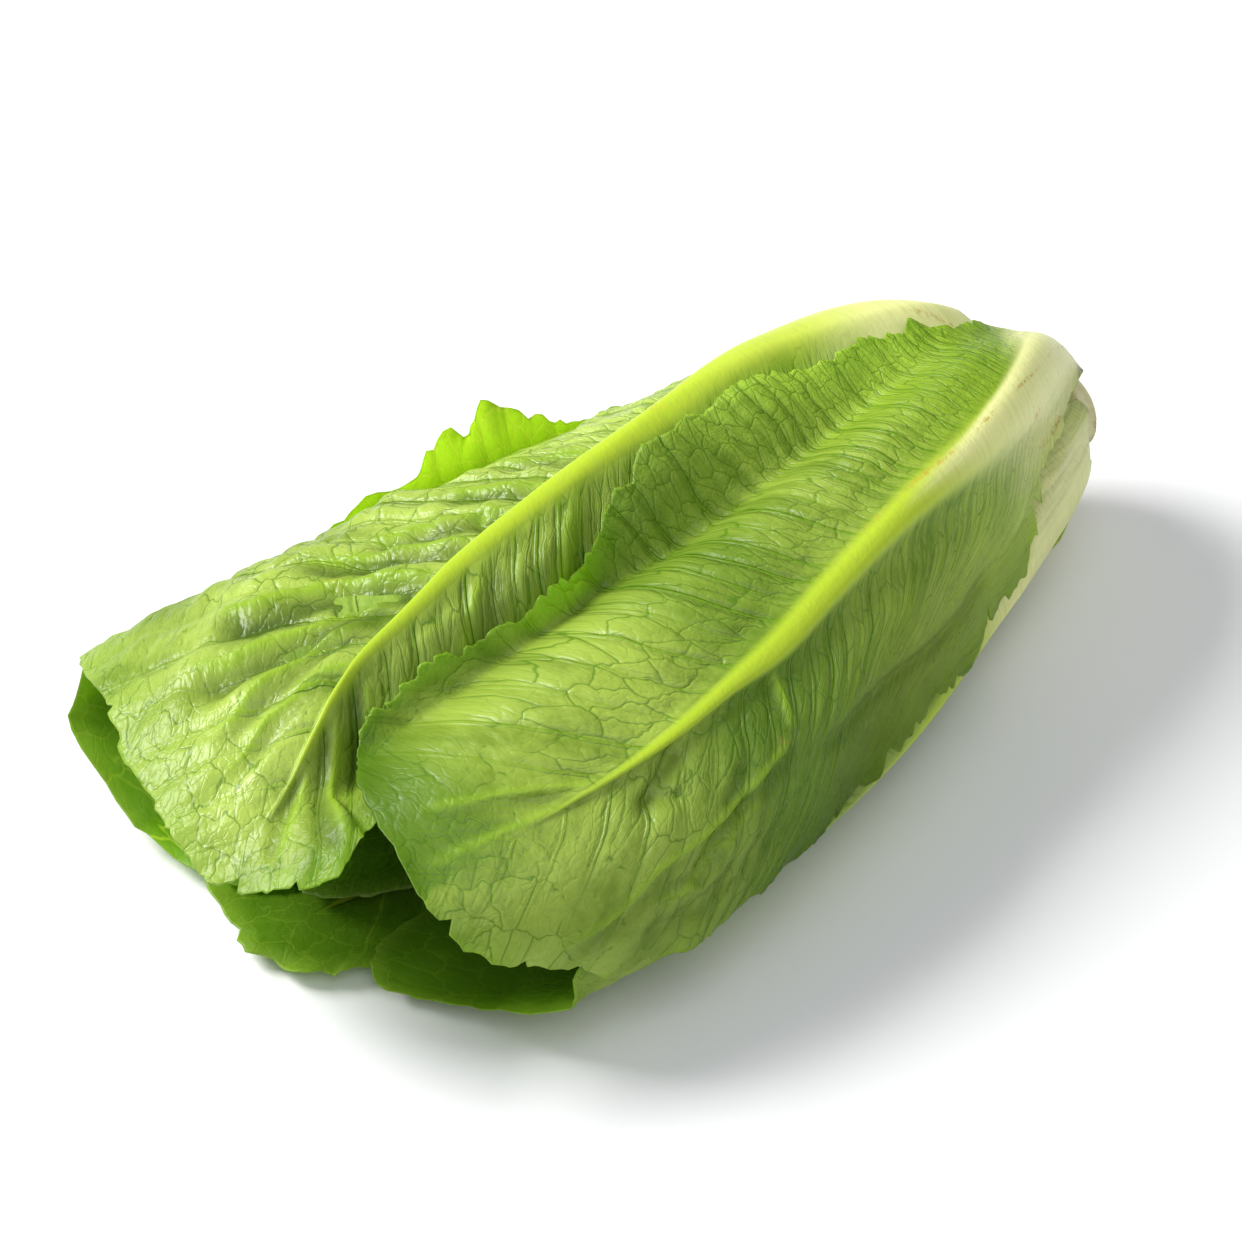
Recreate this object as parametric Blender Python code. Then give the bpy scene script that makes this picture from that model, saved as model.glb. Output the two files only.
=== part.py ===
# Romaine heart: twelve wrapped leaves round a short cut stem, lying on its side.
# Lengths are metres. +X points at the cut stem, -Y at the side the camera sees, +Z up.
# The table is z = 0 and the origin is the flat spot on the rib of the lowest leaf.
import bpy
import numpy as np

MM = 0.001

# The head's outside, given at stations counted from the cut stem toward the tips, in mm.
BUTT_X = 138.5
STATION = (0, 12, 34, 74, 114, 154, 194, 229, 256, 285)
FRONT_REACH = (14, 21, 31, 47, 61, 70, 73, 66, 54, 40)
BACK_REACH = (14, 22, 37, 51, 61, 67, 73, 78, 80, 70)
TOP_Z = (46, 58, 73, 77, 73, 70, 65, 59, 49, 30)
AXIS_Z = (28, 28, 30, 31, 31, 30, 28, 25, 22, 16)
BOTTOM_Z = (13, 6, -1, -2, -2, -2, -1, 1, 5, 8)
VALLEY_DEPTH = (0, 1, 6, 13, 14, 13, 11, 7, 2, 0)
VALLEY_ANGLE = (100, 100, 98, 94, 90, 86, 82, 78, 76, 76)
VALLEY_WIDTH = 20.0
SQUARENESS = 2.25
NO_FLOOR = 1000.0

# Leaf build: shares of a leaf's length at which its section is given, and thicknesses in mm.
SECTION_SHARE = (0, 0.3, 0.65, 1)
BLADE = 0.7
LEAST_BLADE = 0.62
GAP = 1.75
RIB_EDGE = 2.6
RIB_END = 0.93
SINK_SPAN = 34.0
SKIRT_START = 2.5
SKIRT_WIDTH = 7.0
WIDE_SKIRT_WIDTH = 30.0
TIP_SKIRT_START = 3.0
TIP_SKIRT_WIDTH = 9.0
BASE_ROUND = 6.0

# Cut stem, in mm.
CORE_CLEARANCE = 0.8
CORE_LENGTH = 62.0
CORE_RINGS = 16
CORE_SEGMENTS = 28
CORE_LEAST = 2.2
CORE_FACE = 13.5
CORE_FACE_ROUND = 2.0

# Leaf outlines. Each row is the share of the rib walked, the station, and degrees off the rib.
PLAIN = ((0, 0.0, 0.55), (0.12, 0.12, 0.5), (0.3, 0.36, 0.68), (0.5, 0.62, 0.95),
         (0.68, 0.79, 1.0), (0.83, 0.91, 0.8), (0.93, 0.975, 0.45), (1, 1, 0))
FRONT_LEFT = ((0, 4, 37), (0.1, 22, 34), (0.2, 45, 49), (0.32, 75, 65), (0.45, 110, 74),
              (0.55, 140, 73), (0.63, 165, 59), (0.72, 190, 62), (0.82, 213, 64),
              (0.9, 228, 52), (0.96, 238, 28), (1, 244, 0))
FRONT_RIGHT = ((0, 4, 25), (0.1, 25, 26), (0.17, 42, 34), (0.24, 56, 56), (0.3, 70, 53),
               (0.4, 95, 47), (0.5, 120, 41), (0.62, 155, 39), (0.75, 190, 34),
               (0.85, 215, 30), (0.93, 234, 20), (0.975, 242, 9), (1, 244, 0))
BACK_LEFT = ((0, 8, 52), (0.15, 40, 39), (0.3, 85, 40), (0.42, 125, 44), (0.55, 170, 50),
             (0.66, 215, 60), (0.75, 243, 81), (0.83, 256, 73), (0.9, 264, 56),
             (0.95, 268, 32), (1, 269, 0))
BACK_RIGHT = ((0, 8, 34), (0.15, 40, 45), (0.3, 85, 56), (0.45, 125, 62), (0.6, 170, 64),
              (0.75, 215, 58), (0.85, 243, 44), (0.91, 257, 39), (0.96, 265, 24), (1, 269, 0))
BACK_LOW_LEFT = ((0, 7, 58), (0.15, 36, 52), (0.35, 90, 55), (0.5, 140, 58), (0.65, 190, 52),
                 (0.8, 226, 41), (0.92, 244, 24), (1, 252, 0))
BACK_LOW_RIGHT = ((0, 7, 50), (0.15, 36, 44), (0.32, 85, 31), (0.4, 108, 34), (0.46, 124, 42),
                  (0.52, 140, 43), (0.59, 160, 41), (0.65, 176, 29), (0.72, 192, 25),
                  (0.82, 222, 26), (0.93, 243, 20), (1, 252, 0))
FRONT_LOW_LEFT = ((0, 8, 66), (0.15, 35, 60), (0.35, 85, 44), (0.55, 140, 46),
                  (0.72, 185, 46), (0.84, 213, 38), (0.93, 230, 17), (1, 240, 0))
FRONT_LOW_RIGHT = ((0, 8, 44), (0.15, 35, 48), (0.35, 85, 52), (0.55, 140, 52),
                   (0.72, 185, 46), (0.84, 213, 33), (0.93, 232, 20), (1, 240, 0))
UNDER_SIDE = ((0, 3, 50), (0.12, 33, 44), (0.3, 90, 44), (0.5, 155, 55), (0.66, 200, 56),
              (0.8, 229, 53), (0.88, 242, 50), (0.95, 250, 37), (1, 255, 0))

# Where the cut edges of a leaf stand out from the head: side, station, reach along and lift in mm.
BACK_LOW_LOBE = ((-1, 140, 19, 7.0),)


def curve(keys, values, at):
    """Smooth curve through the keyed values, read at the given places."""
    keys = np.asarray(keys, float)
    values = np.asarray(values, float)
    slope = np.gradient(values, keys)
    x = np.clip(np.asarray(at, float), keys[0], keys[-1])
    i = np.clip(np.searchsorted(keys, x, side="right") - 1, 0, len(keys) - 2)
    step = keys[i + 1] - keys[i]
    f = (x - keys[i]) / step
    start = (1 + 2 * f) * (1 - f) ** 2 * values[i] + f * (1 - f) ** 2 * step * slope[i]
    end = f * f * (3 - 2 * f) * values[i + 1] - f * f * (1 - f) * step * slope[i + 1]
    return start + end


def soft_step(x):
    """Ease from 0 to 1 while x goes from 0 to 1."""
    x = np.clip(x, 0, 1)
    return x * x * (3 - 2 * x)


def turned(angle):
    """The angle brought into -180 to 180 degrees."""
    return (angle + 180) % 360 - 180


def floor_radius(s, phi):
    """Distance from the head's axis to the table."""
    down = -np.sin(np.radians(phi))
    return np.where(down > 1e-6, curve(STATION, AXIS_Z, s) / np.maximum(down, 1e-6), NO_FLOOR)


def head_radius(s, phi):
    """Outside of the whole head: distance from its axis at a station and an angle."""
    c = np.cos(np.radians(phi))
    d = np.sin(np.radians(phi))
    reach = np.where(c > 0, curve(STATION, FRONT_REACH, s), curve(STATION, BACK_REACH, s))
    axis = curve(STATION, AXIS_Z, s)
    tall = np.where(d > 0, curve(STATION, TOP_Z, s) - axis, axis - curve(STATION, BOTTOM_Z, s))
    across = (np.abs(c) / reach) ** SQUARENESS
    upright = (np.abs(d) / tall) ** SQUARENESS
    r = (across + upright) ** (-1 / SQUARENESS)
    off_valley = turned(phi - curve(STATION, VALLEY_ANGLE, s)) / VALLEY_WIDTH
    r = r - curve(STATION, VALLEY_DEPTH, s) * np.exp(-(off_valley**2))
    return np.minimum(r, floor_radius(s, phi))


def place(s, phi, r):
    """Point in metres at a station, an angle and a distance from the head's axis."""
    a = np.radians(phi)
    x = BUTT_X - s
    y = -np.cos(a) * r
    z = curve(STATION, AXIS_Z, s) + np.sin(a) * r
    return np.stack([x, y, z], -1) * MM


def plain_side(start, tip, spread):
    """Outline of an ordinary leaf's half."""
    return tuple((q, start + f * (tip - start), h * spread) for q, f, h in PLAIN)


def make_leaf(name, title, rib_at, rib_angle, start, tip, left, right, sink, rib_width,
              rib_back, rows, columns, flare, colour, lobes=()):
    """One leaf's dimensions; left and right are outlines, or degrees for an ordinary half."""
    if not isinstance(left, tuple):
        left = plain_side(start, tip, left)
    if not isinstance(right, tuple):
        right = plain_side(start, tip, right)
    return {"name": name, "title": title, "rib_at": rib_at, "rib_angle": rib_angle,
            "start": start, "tip": tip, "left": left, "right": right, "sink": sink,
            "rib_width": rib_width, "rib_back": rib_back, "rows": rows, "columns": columns,
            "flare": flare, "colour": colour, "lobes": lobes}


OUTER_GREEN = (0.20, 0.36, 0.07)
INNER_GREEN = (0.33, 0.48, 0.12)
HEART_YELLOW = (0.55, 0.58, 0.20)
CORE_CREAM = (0.72, 0.68, 0.42)

BROAD_RIB = (20, 13, 9, 2.5)
INNER_RIB = (13, 10, 6, 2.5)
HEART_RIB = (9, 7, 5, 2)
BROAD_BACK = (3.5, 1.8, 0.8, 0.2)
INNER_BACK = (2, 1.2, 0.6, 0.2)
HEART_BACK = (1.2, 0.8, 0.4, 0.2)
INNER_SINK = (1.5, 1.6, 1.2, 0.5)
HEART_SINK = (1.1, 1.1, 0.9, 0.4)

# From the outermost leaf to the innermost; each hides what of the next lies under it.
LEAVES = (
    make_leaf("leaf_under", "lowest leaf", (0, 60, 140, 200, 255), (280, 274, 268, 262, 258),
              3, 255, UNDER_SIDE, UNDER_SIDE, (0, 0, 0, 0), (26, 24, 20, 16),
              (5, 4, 2, 0.4), 14, 7, 0, OUTER_GREEN),
    make_leaf("leaf_front", "front leaf", (5, 30, 60, 95, 140, 190, 245),
              (88, 65, 51, 44, 35, 29, 29), 4, 244, FRONT_LEFT, FRONT_RIGHT,
              (3, 4, 2.6, 1.0), (22, 13, 9, 2.5), BROAD_BACK, 24, 8, 1.5, OUTER_GREEN),
    make_leaf("leaf_back_low", "low back leaf", (0, 60, 120, 200, 258),
              (188, 194, 197, 198, 197), 7, 252, BACK_LOW_LEFT, BACK_LOW_RIGHT,
              (2, 2.4, 1.6, 0.8), (17, 11, 7, 2.5), BROAD_BACK, 14, 6, 1.2, OUTER_GREEN,
              BACK_LOW_LOBE),
    make_leaf("leaf_front_low", "low front leaf", (0, 40, 100, 180, 240),
              (342, 348, 346, 337, 321), 8, 240, FRONT_LOW_LEFT, FRONT_LOW_RIGHT,
              (3, 3, 2.2, 0.8), BROAD_RIB, BROAD_BACK, 14, 6, 1.2, OUTER_GREEN),
    make_leaf("leaf_back", "back leaf", (12, 40, 70, 110, 150, 190, 215, 250, 270),
              (118, 135, 135, 128, 123, 117, 108, 85, 76), 8, 269, BACK_LEFT, BACK_RIGHT,
              (3, 4, 3, 1.0), (20, 14, 9, 3), BROAD_BACK, 24, 8, 1.5, OUTER_GREEN),
    make_leaf("leaf_inner_1", "inner leaf 1", (0, 250), (242, 248), 14, 238, 52, 52,
              INNER_SINK, INNER_RIB, INNER_BACK, 13, 9, 1.2, INNER_GREEN),
    make_leaf("leaf_inner_2", "inner leaf 2", (0, 250), (12, 20), 17, 219, 54, 50,
              INNER_SINK, INNER_RIB, INNER_BACK, 13, 9, 1.2, INNER_GREEN),
    make_leaf("leaf_inner_3", "inner leaf 3", (0, 250), (150, 156), 20, 230, 52, 52,
              INNER_SINK, INNER_RIB, INNER_BACK, 13, 9, 1.2, INNER_GREEN),
    make_leaf("leaf_heart_1", "heart leaf 1", (0, 250), (292, 296), 24, 212, 54, 54,
              HEART_SINK, HEART_RIB, HEART_BACK, 13, 9, 1.0, HEART_YELLOW),
    make_leaf("leaf_heart_2", "heart leaf 2", (0, 250), (70, 74), 28, 204, 58, 58,
              HEART_SINK, HEART_RIB, HEART_BACK, 13, 9, 1.0, HEART_YELLOW),
    make_leaf("leaf_heart_3", "heart leaf 3", (0, 250), (208, 212), 33, 194, 56, 56,
              HEART_SINK, HEART_RIB, HEART_BACK, 13, 9, 1.0, HEART_YELLOW),
    make_leaf("leaf_heart_4", "heart leaf 4", (0, 250), (340, 346), 38, 184, 66, 66,
              HEART_SINK, HEART_RIB, HEART_BACK, 13, 9, 1.0, HEART_YELLOW),
)
FIRST_INNER = 5


def share(leaf, s):
    """How far along the leaf a station lies, 0 at its base and 1 at its tip."""
    return (s - leaf["start"]) / (leaf["tip"] - leaf["start"])


def off_rib(leaf, s, phi):
    """Degrees from the leaf's rib."""
    return turned(phi - curve(leaf["rib_at"], leaf["rib_angle"], s))


def half_width(leaf, s, off):
    """Degrees from the rib to the margin on the side that off lies on."""
    halves = []
    for side in ("left", "right"):
        rows = sorted((station, half) for _, station, half in leaf[side])
        halves.append(np.interp(s, [row[0] for row in rows], [row[1] for row in rows]))
    return np.where(off > 0, halves[0], halves[1])


def sink(leaf, s, v):
    """How deep the blade lies under the rib's crest, v mm from the rib."""
    return curve(SECTION_SHARE, leaf["sink"], share(leaf, s)) * np.exp(-((np.abs(v) / SINK_SPAN) ** 3))


def rib(leaf, s, v):
    """1 on the rib, 0 on the blade."""
    half = curve(SECTION_SHARE, leaf["rib_width"], share(leaf, s)) / 2
    return np.exp(-((np.abs(v) / half) ** RIB_EDGE))


def thickness(leaf, s, v):
    """Blade thickness with the rib's swelling toward the inside."""
    return BLADE + curve(SECTION_SHARE, leaf["rib_back"], share(leaf, s)) * rib(leaf, s, v)


def cover(leaf, s, phi, skirt):
    """1 where the leaf lies over the ones inside it, easing to 0 past its margin."""
    off = off_rib(leaf, s, phi)
    r = np.maximum(head_radius(s, phi), 12.0)
    beyond = np.radians(np.abs(off) - half_width(leaf, s, off)) * r
    across = 1 - soft_step((beyond - SKIRT_START) / skirt)
    along = 1 - soft_step((s - leaf["tip"] - TIP_SKIRT_START) / TIP_SKIRT_WIDTH)
    return across * along * soft_step((s - leaf["start"] + 5) / 4)


def room(leaf, s, phi):
    """Depth the leaf takes up, with the gap under it."""
    off = off_rib(leaf, s, phi)
    v = np.radians(off) * head_radius(s, phi)
    near = np.abs(off) < 90
    swell = curve(SECTION_SHARE, leaf["rib_back"], share(leaf, s)) * rib(leaf, s, v)
    return near * (sink(leaf, s, v) + swell) + BLADE + GAP


def depth(number, s, phi):
    """Depth under the head's outside at which a leaf starts, from the leaves over it."""
    skirt = SKIRT_WIDTH if number < FIRST_INNER else WIDE_SKIRT_WIDTH
    total = np.zeros(np.shape(s))
    for leaf in LEAVES[:number]:
        total = total + cover(leaf, s, phi, skirt) * room(leaf, s, phi)
    return total


def leaf_lines(leaf):
    """Grid over a leaf: stations, angles, share from rib to margin, and place along the margin.

    Rows run from the left base over the tip to the right base, columns from rib to margin."""
    w = np.linspace(-1, 1, 2 * leaf["rows"] + 1)
    q = 1 - np.abs(w)
    t = np.linspace(0, 1, leaf["columns"] + 1)[None, :] ** 1.6
    rib_s = leaf["start"] + (leaf["tip"] - leaf["start"]) * RIB_END * q
    ends = []
    halves = []
    for side in ("left", "right"):
        walked = [row[0] for row in leaf[side]]
        ends.append(curve(walked, [row[1] for row in leaf[side]], q))
        halves.append(np.maximum(curve(walked, [row[2] for row in leaf[side]], q), 0))
    end = np.where(w < 0, ends[0], ends[1])
    half = np.where(w < 0, halves[0], -halves[1])
    s = rib_s[:, None] + (end - rib_s)[:, None] * t**1.15
    phi = curve(leaf["rib_at"], leaf["rib_angle"], s) + half[:, None] * t
    return s, phi, t + 0 * s, w[:, None] + 0 * s


def margin_wave(number, s, phi, t, w):
    """How far the cut edge stands out, only where no other leaf lies over it."""
    leaf = LEAVES[number]
    over = np.zeros(np.shape(s))
    for other in LEAVES[:number]:
        over = over + cover(other, s, phi, SKIRT_WIDTH)
    free = 1 - np.clip(over, 0, 1)
    ripple = 0.6 + 0.4 * np.sin(w * 23 + number * 2.1) + 0.35 * np.sin(w * 51 + number)
    wave = leaf["flare"] * t**4 * ripple * free
    for side, at, reach, lift in leaf["lobes"]:
        wave = wave + lift * (w * side < 0) * t**2.2 * np.exp(-(((s - at) / reach) ** 2))
    return wave


def leaf_faces(number, s, phi, t, w):
    """Outer and inner distances from the head's axis over a leaf's grid."""
    leaf = LEAVES[number]
    outside = head_radius(s, phi)
    v = np.radians(off_rib(leaf, s, phi)) * outside
    sunk = sink(leaf, s, v)
    crest = sunk * rib(leaf, s, v)
    thick = thickness(leaf, s, v)
    wave = margin_wave(number, s, phi, t, w)
    base = outside - depth(number, s, phi) - sunk + wave
    near_base = np.clip((s - leaf["start"]) / BASE_ROUND, 0, 1)
    rounding = (1 - np.sqrt(1 - (1 - near_base) ** 2)) * (thick + crest) * 0.5
    outer = np.minimum(base + crest - rounding, floor_radius(s, phi))
    inner = np.minimum(base - thick + rounding, outer - LEAST_BLADE)
    return outer, inner


def grid_index(rows, columns):
    """Point numbers of a leaf's grid, with the rib's points shared by both halves."""
    index = np.zeros((2 * rows + 1, columns + 1), int)
    index[: rows + 1, 0] = np.arange(rows + 1)
    index[rows + 1 :, 0] = np.arange(rows - 1, -1, -1)
    index[:, 1:] = (rows + 1) + np.arange((2 * rows + 1) * columns).reshape(-1, columns)
    return index


def leaf_triangles(index, points):
    """Both faces and the rim of a leaf, both faces split the same way."""
    a, b = index[:-1, :-1], index[1:, :-1]
    c, d = index[1:, 1:], index[:-1, 1:]
    face = np.concatenate([np.stack([a, b, c], -1).reshape(-1, 3),
                           np.stack([a, c, d], -1).reshape(-1, 3)])
    keep = (face[:, 0] != face[:, 1]) & (face[:, 1] != face[:, 2]) & (face[:, 0] != face[:, 2])
    face = face[keep]
    loop = np.concatenate([index[0, :-1], index[:, -1], index[-1, -2:0:-1]])
    after = np.roll(loop, -1)
    rim = np.concatenate([np.stack([loop, after, after + points], -1),
                          np.stack([loop, after + points, loop + points], -1)])
    return np.concatenate([face, face[:, ::-1] + points, rim])


def make_material(name, colour, roughness):
    """Plain Principled material for one object."""
    material = bpy.data.materials.new(name)
    material.use_nodes = True
    shader = material.node_tree.nodes["Principled BSDF"]
    shader.inputs["Base Color"].default_value = (*colour, 1)
    shader.inputs["Roughness"].default_value = roughness
    material.diffuse_color = (*colour, 1)
    return material


def signed_volume(points, triangles):
    """Volume inside the triangles, negative where they face inward."""
    a, b, c = (points[triangles[:, i]] for i in range(3))
    return np.einsum("ij,ij->i", a, np.cross(b, c)).sum() / 6


def add_object(collection, name, points, triangles, colour, roughness):
    """Closed mesh object with its faces turned outward."""
    if signed_volume(points, triangles) < 0:
        triangles = triangles[:, ::-1]
    mesh = bpy.data.meshes.new(name)
    mesh.from_pydata(points.tolist(), [], triangles.tolist())
    mesh.update()
    mesh.materials.append(make_material(name + "_material", colour, roughness))
    obj = bpy.data.objects.new(name, mesh)
    collection.objects.link(obj)
    return obj


def build_leaf(collection, number):
    """One leaf, blade and rib in one piece."""
    leaf = LEAVES[number]
    s, phi, t, w = leaf_lines(leaf)
    outer, inner = leaf_faces(number, s, phi, t, w)
    index = grid_index(leaf["rows"], leaf["columns"])
    count = index.max() + 1
    points = np.zeros((2 * count, 3))
    points[index.ravel()] = place(s, phi, outer).reshape(-1, 3)
    points[index.ravel() + count] = place(s, phi, inner).reshape(-1, 3)
    triangles = leaf_triangles(index, count)
    add_object(collection, leaf["name"], points, triangles, leaf["colour"], 0.45)


def core_radius(s, phi):
    """Radius of the stem, kept clear of the inner face of every leaf."""
    free = head_radius(s, phi) - depth(len(LEAVES), s, phi) - CORE_CLEARANCE
    edge = CORE_FACE - CORE_FACE_ROUND * np.clip(1 - s / 2.0, 0, 1) ** 2
    taper = 1 - soft_step((s - 0.7 * CORE_LENGTH) / (0.4 * CORE_LENGTH))
    return np.maximum(np.minimum(free, edge) * taper, CORE_LEAST)


def build_core(collection):
    """Short stem that the leaves spring from, with the flat cut face at its end."""
    steps = np.linspace(0, 1, CORE_RINGS)
    s = (steps**1.5 * CORE_LENGTH)[:, None]
    phi = (np.arange(CORE_SEGMENTS) * 360 / CORE_SEGMENTS)[None, :]
    s, phi = s + 0 * phi, phi + 0 * s
    rings = place(s, phi, core_radius(s, phi)).reshape(-1, 3)
    ends = place(np.array([0.0, CORE_LENGTH]), np.zeros(2), np.zeros(2))
    points = np.concatenate([rings, ends])
    index = np.arange(CORE_RINGS * CORE_SEGMENTS).reshape(CORE_RINGS, CORE_SEGMENTS)
    after = np.roll(index, -1, axis=1)
    walls = [np.stack([index[:-1], after[:-1], after[1:]], -1).reshape(-1, 3),
             np.stack([index[:-1], after[1:], index[1:]], -1).reshape(-1, 3)]
    cut = np.full(CORE_SEGMENTS, len(rings))
    caps = [np.stack([cut, after[0], index[0]], -1),
            np.stack([cut + 1, index[-1], after[-1]], -1)]
    triangles = np.concatenate(walls + caps)
    add_object(collection, "core", points, triangles, CORE_CREAM, 0.5)


def clear_scene():
    """Take out everything that the file starts with."""
    for obj in list(bpy.data.objects):
        bpy.data.objects.remove(obj, do_unlink=True)


def main():
    clear_scene()
    collection = bpy.data.collections.new("romaine_heart")
    bpy.context.scene.collection.children.link(collection)
    build_core(collection)
    for number in range(len(LEAVES)):
        build_leaf(collection, number)


main()
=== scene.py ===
import math

import bpy
import numpy as np
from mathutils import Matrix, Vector

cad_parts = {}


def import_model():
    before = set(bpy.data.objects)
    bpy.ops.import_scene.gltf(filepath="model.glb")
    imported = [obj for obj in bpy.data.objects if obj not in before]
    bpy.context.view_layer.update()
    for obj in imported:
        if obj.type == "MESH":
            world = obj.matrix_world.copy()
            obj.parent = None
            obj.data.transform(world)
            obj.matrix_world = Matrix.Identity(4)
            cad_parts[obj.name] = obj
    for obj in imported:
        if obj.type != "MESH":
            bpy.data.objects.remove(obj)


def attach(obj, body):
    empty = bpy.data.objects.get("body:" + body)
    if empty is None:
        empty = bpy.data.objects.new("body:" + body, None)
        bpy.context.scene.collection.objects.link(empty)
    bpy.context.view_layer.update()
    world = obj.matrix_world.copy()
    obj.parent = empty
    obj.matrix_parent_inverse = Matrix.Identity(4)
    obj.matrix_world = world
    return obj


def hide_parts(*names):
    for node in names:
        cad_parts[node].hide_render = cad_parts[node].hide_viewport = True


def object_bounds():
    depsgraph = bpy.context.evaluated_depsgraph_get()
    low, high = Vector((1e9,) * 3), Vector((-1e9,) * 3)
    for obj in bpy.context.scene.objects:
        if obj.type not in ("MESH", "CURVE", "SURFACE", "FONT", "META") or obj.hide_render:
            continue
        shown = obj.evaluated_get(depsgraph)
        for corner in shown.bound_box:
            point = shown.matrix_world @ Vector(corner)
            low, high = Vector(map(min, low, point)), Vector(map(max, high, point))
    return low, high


MM = 0.001
BODY = "root"
BOX_INSET = 0.0001

# Head form, the same as in the part's source.
BUTT_X = 138.5
STATION = (0, 12, 34, 74, 114, 154, 194, 229, 256, 285)
FRONT_REACH = (14, 21, 31, 47, 61, 70, 73, 66, 54, 40)
BACK_REACH = (14, 22, 37, 51, 61, 67, 73, 78, 80, 70)
TOP_Z = (46, 58, 73, 77, 73, 70, 65, 59, 49, 30)
AXIS_Z = (28, 28, 30, 31, 31, 30, 28, 25, 22, 16)
BOTTOM_Z = (13, 6, -1, -2, -2, -2, -1, 1, 5, 8)
VALLEY_DEPTH = (0, 1, 6, 13, 14, 13, 11, 7, 2, 0)
VALLEY_ANGLE = (100, 100, 98, 94, 90, 86, 82, 78, 76, 76)
VALLEY_WIDTH = 20.0
SQUARENESS = 2.25
NO_FLOOR = 1000.0

SECTION_SHARE = (0, 0.3, 0.65, 1)
BLADE = 0.7
LEAST_BLADE = 0.4
GAP = 1.75
RIB_EDGE = 2.6
RIB_END = 0.93
SINK_SPAN = 34.0
SKIRT_START = 2.5
SKIRT_WIDTH = 7.0
WIDE_SKIRT_WIDTH = 30.0
TIP_SKIRT_START = 3.0
TIP_SKIRT_WIDTH = 9.0
BASE_ROUND = 6.0
BASE_SKIRT_START = 5.0
BASE_SKIRT_WIDTH = 4.0
LEAST_RADIUS = 12.0
FIRST_SEED = 100
SEED_STEP = 37
MM_PER_CM = 10

# An ordinary half: share of the way along the margin, share of the length, share of the spread.
PLAIN = ((0, 0.0, 0.55), (0.12, 0.12, 0.5), (0.3, 0.36, 0.68), (0.5, 0.62, 0.95),
         (0.68, 0.79, 1.0), (0.83, 0.91, 0.8), (0.93, 0.975, 0.45), (1, 1, 0))
# Other halves: share of the way along the margin, station in mm, degrees from the rib.
FRONT_LEFT = ((0, 4, 37), (0.1, 22, 34), (0.2, 45, 49), (0.32, 75, 65), (0.45, 110, 74),
              (0.55, 140, 73), (0.63, 165, 59), (0.72, 190, 62), (0.82, 213, 64),
              (0.9, 228, 52), (0.96, 238, 28), (1, 244, 0))
FRONT_RIGHT = ((0, 4, 25), (0.1, 25, 26), (0.17, 42, 34), (0.24, 56, 56), (0.3, 70, 53),
               (0.4, 95, 47), (0.5, 120, 41), (0.62, 155, 39), (0.75, 190, 34),
               (0.85, 215, 30), (0.93, 234, 20), (0.975, 242, 9), (1, 244, 0))
BACK_LEFT = ((0, 8, 52), (0.15, 40, 39), (0.3, 85, 40), (0.42, 125, 44), (0.55, 170, 50),
             (0.66, 215, 60), (0.75, 243, 81), (0.83, 256, 73), (0.9, 264, 56),
             (0.95, 268, 32), (1, 269, 0))
BACK_RIGHT = ((0, 8, 34), (0.15, 40, 45), (0.3, 85, 56), (0.45, 125, 62), (0.6, 170, 64),
              (0.75, 215, 58), (0.85, 243, 44), (0.91, 257, 39), (0.96, 265, 24), (1, 269, 0))
BACK_LOW_LEFT = ((0, 7, 58), (0.15, 36, 52), (0.35, 90, 55), (0.5, 140, 58), (0.65, 190, 52),
                 (0.8, 226, 41), (0.92, 244, 24), (1, 252, 0))
BACK_LOW_RIGHT = ((0, 7, 50), (0.15, 36, 44), (0.32, 85, 31), (0.4, 108, 34), (0.46, 124, 42),
                  (0.52, 140, 43), (0.59, 160, 41), (0.65, 176, 29), (0.72, 192, 25),
                  (0.82, 222, 26), (0.93, 243, 20), (1, 252, 0))
FRONT_LOW_LEFT = ((0, 8, 66), (0.15, 35, 60), (0.35, 85, 44), (0.55, 140, 46),
                  (0.72, 185, 46), (0.84, 213, 38), (0.93, 230, 17), (1, 240, 0))
FRONT_LOW_RIGHT = ((0, 8, 44), (0.15, 35, 48), (0.35, 85, 52), (0.55, 140, 52),
                   (0.72, 185, 46), (0.84, 213, 33), (0.93, 232, 20), (1, 240, 0))
UNDER_SIDE = ((0, 3, 50), (0.12, 33, 44), (0.3, 90, 44), (0.5, 155, 55), (0.66, 200, 56),
              (0.8, 229, 53), (0.88, 242, 50), (0.95, 250, 37), (1, 255, 0))
BACK_LOW_LOBE = ((-1, 140, 19, 7.0),)

# Width of the rib, how far it stands inward and how deep the blade lies beside it, in mm, at
# the shares of the length in SECTION_SHARE.
BROAD_RIB = (20, 13, 9, 2.5)
INNER_RIB = (13, 10, 6, 2.5)
HEART_RIB = (9, 7, 5, 2)
BROAD_BACK = (3.5, 1.8, 0.8, 0.2)
INNER_BACK = (2, 1.2, 0.6, 0.2)
HEART_BACK = (1.2, 0.8, 0.4, 0.2)
INNER_SINK = (1.5, 1.6, 1.2, 0.5)
HEART_SINK = (1.1, 1.1, 0.9, 0.4)


def curve(keys, values, at):
    """Smooth curve through the keyed values, read at the given places."""
    keys = np.asarray(keys, float)
    values = np.asarray(values, float)
    slope = np.gradient(values, keys)
    x = np.clip(np.asarray(at, float), keys[0], keys[-1])
    i = np.clip(np.searchsorted(keys, x, side="right") - 1, 0, len(keys) - 2)
    step = keys[i + 1] - keys[i]
    f = (x - keys[i]) / step
    start = (1 + 2 * f) * (1 - f) ** 2 * values[i] + f * (1 - f) ** 2 * step * slope[i]
    end = f * f * (3 - 2 * f) * values[i + 1] - f * f * (1 - f) * step * slope[i + 1]
    return start + end


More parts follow.
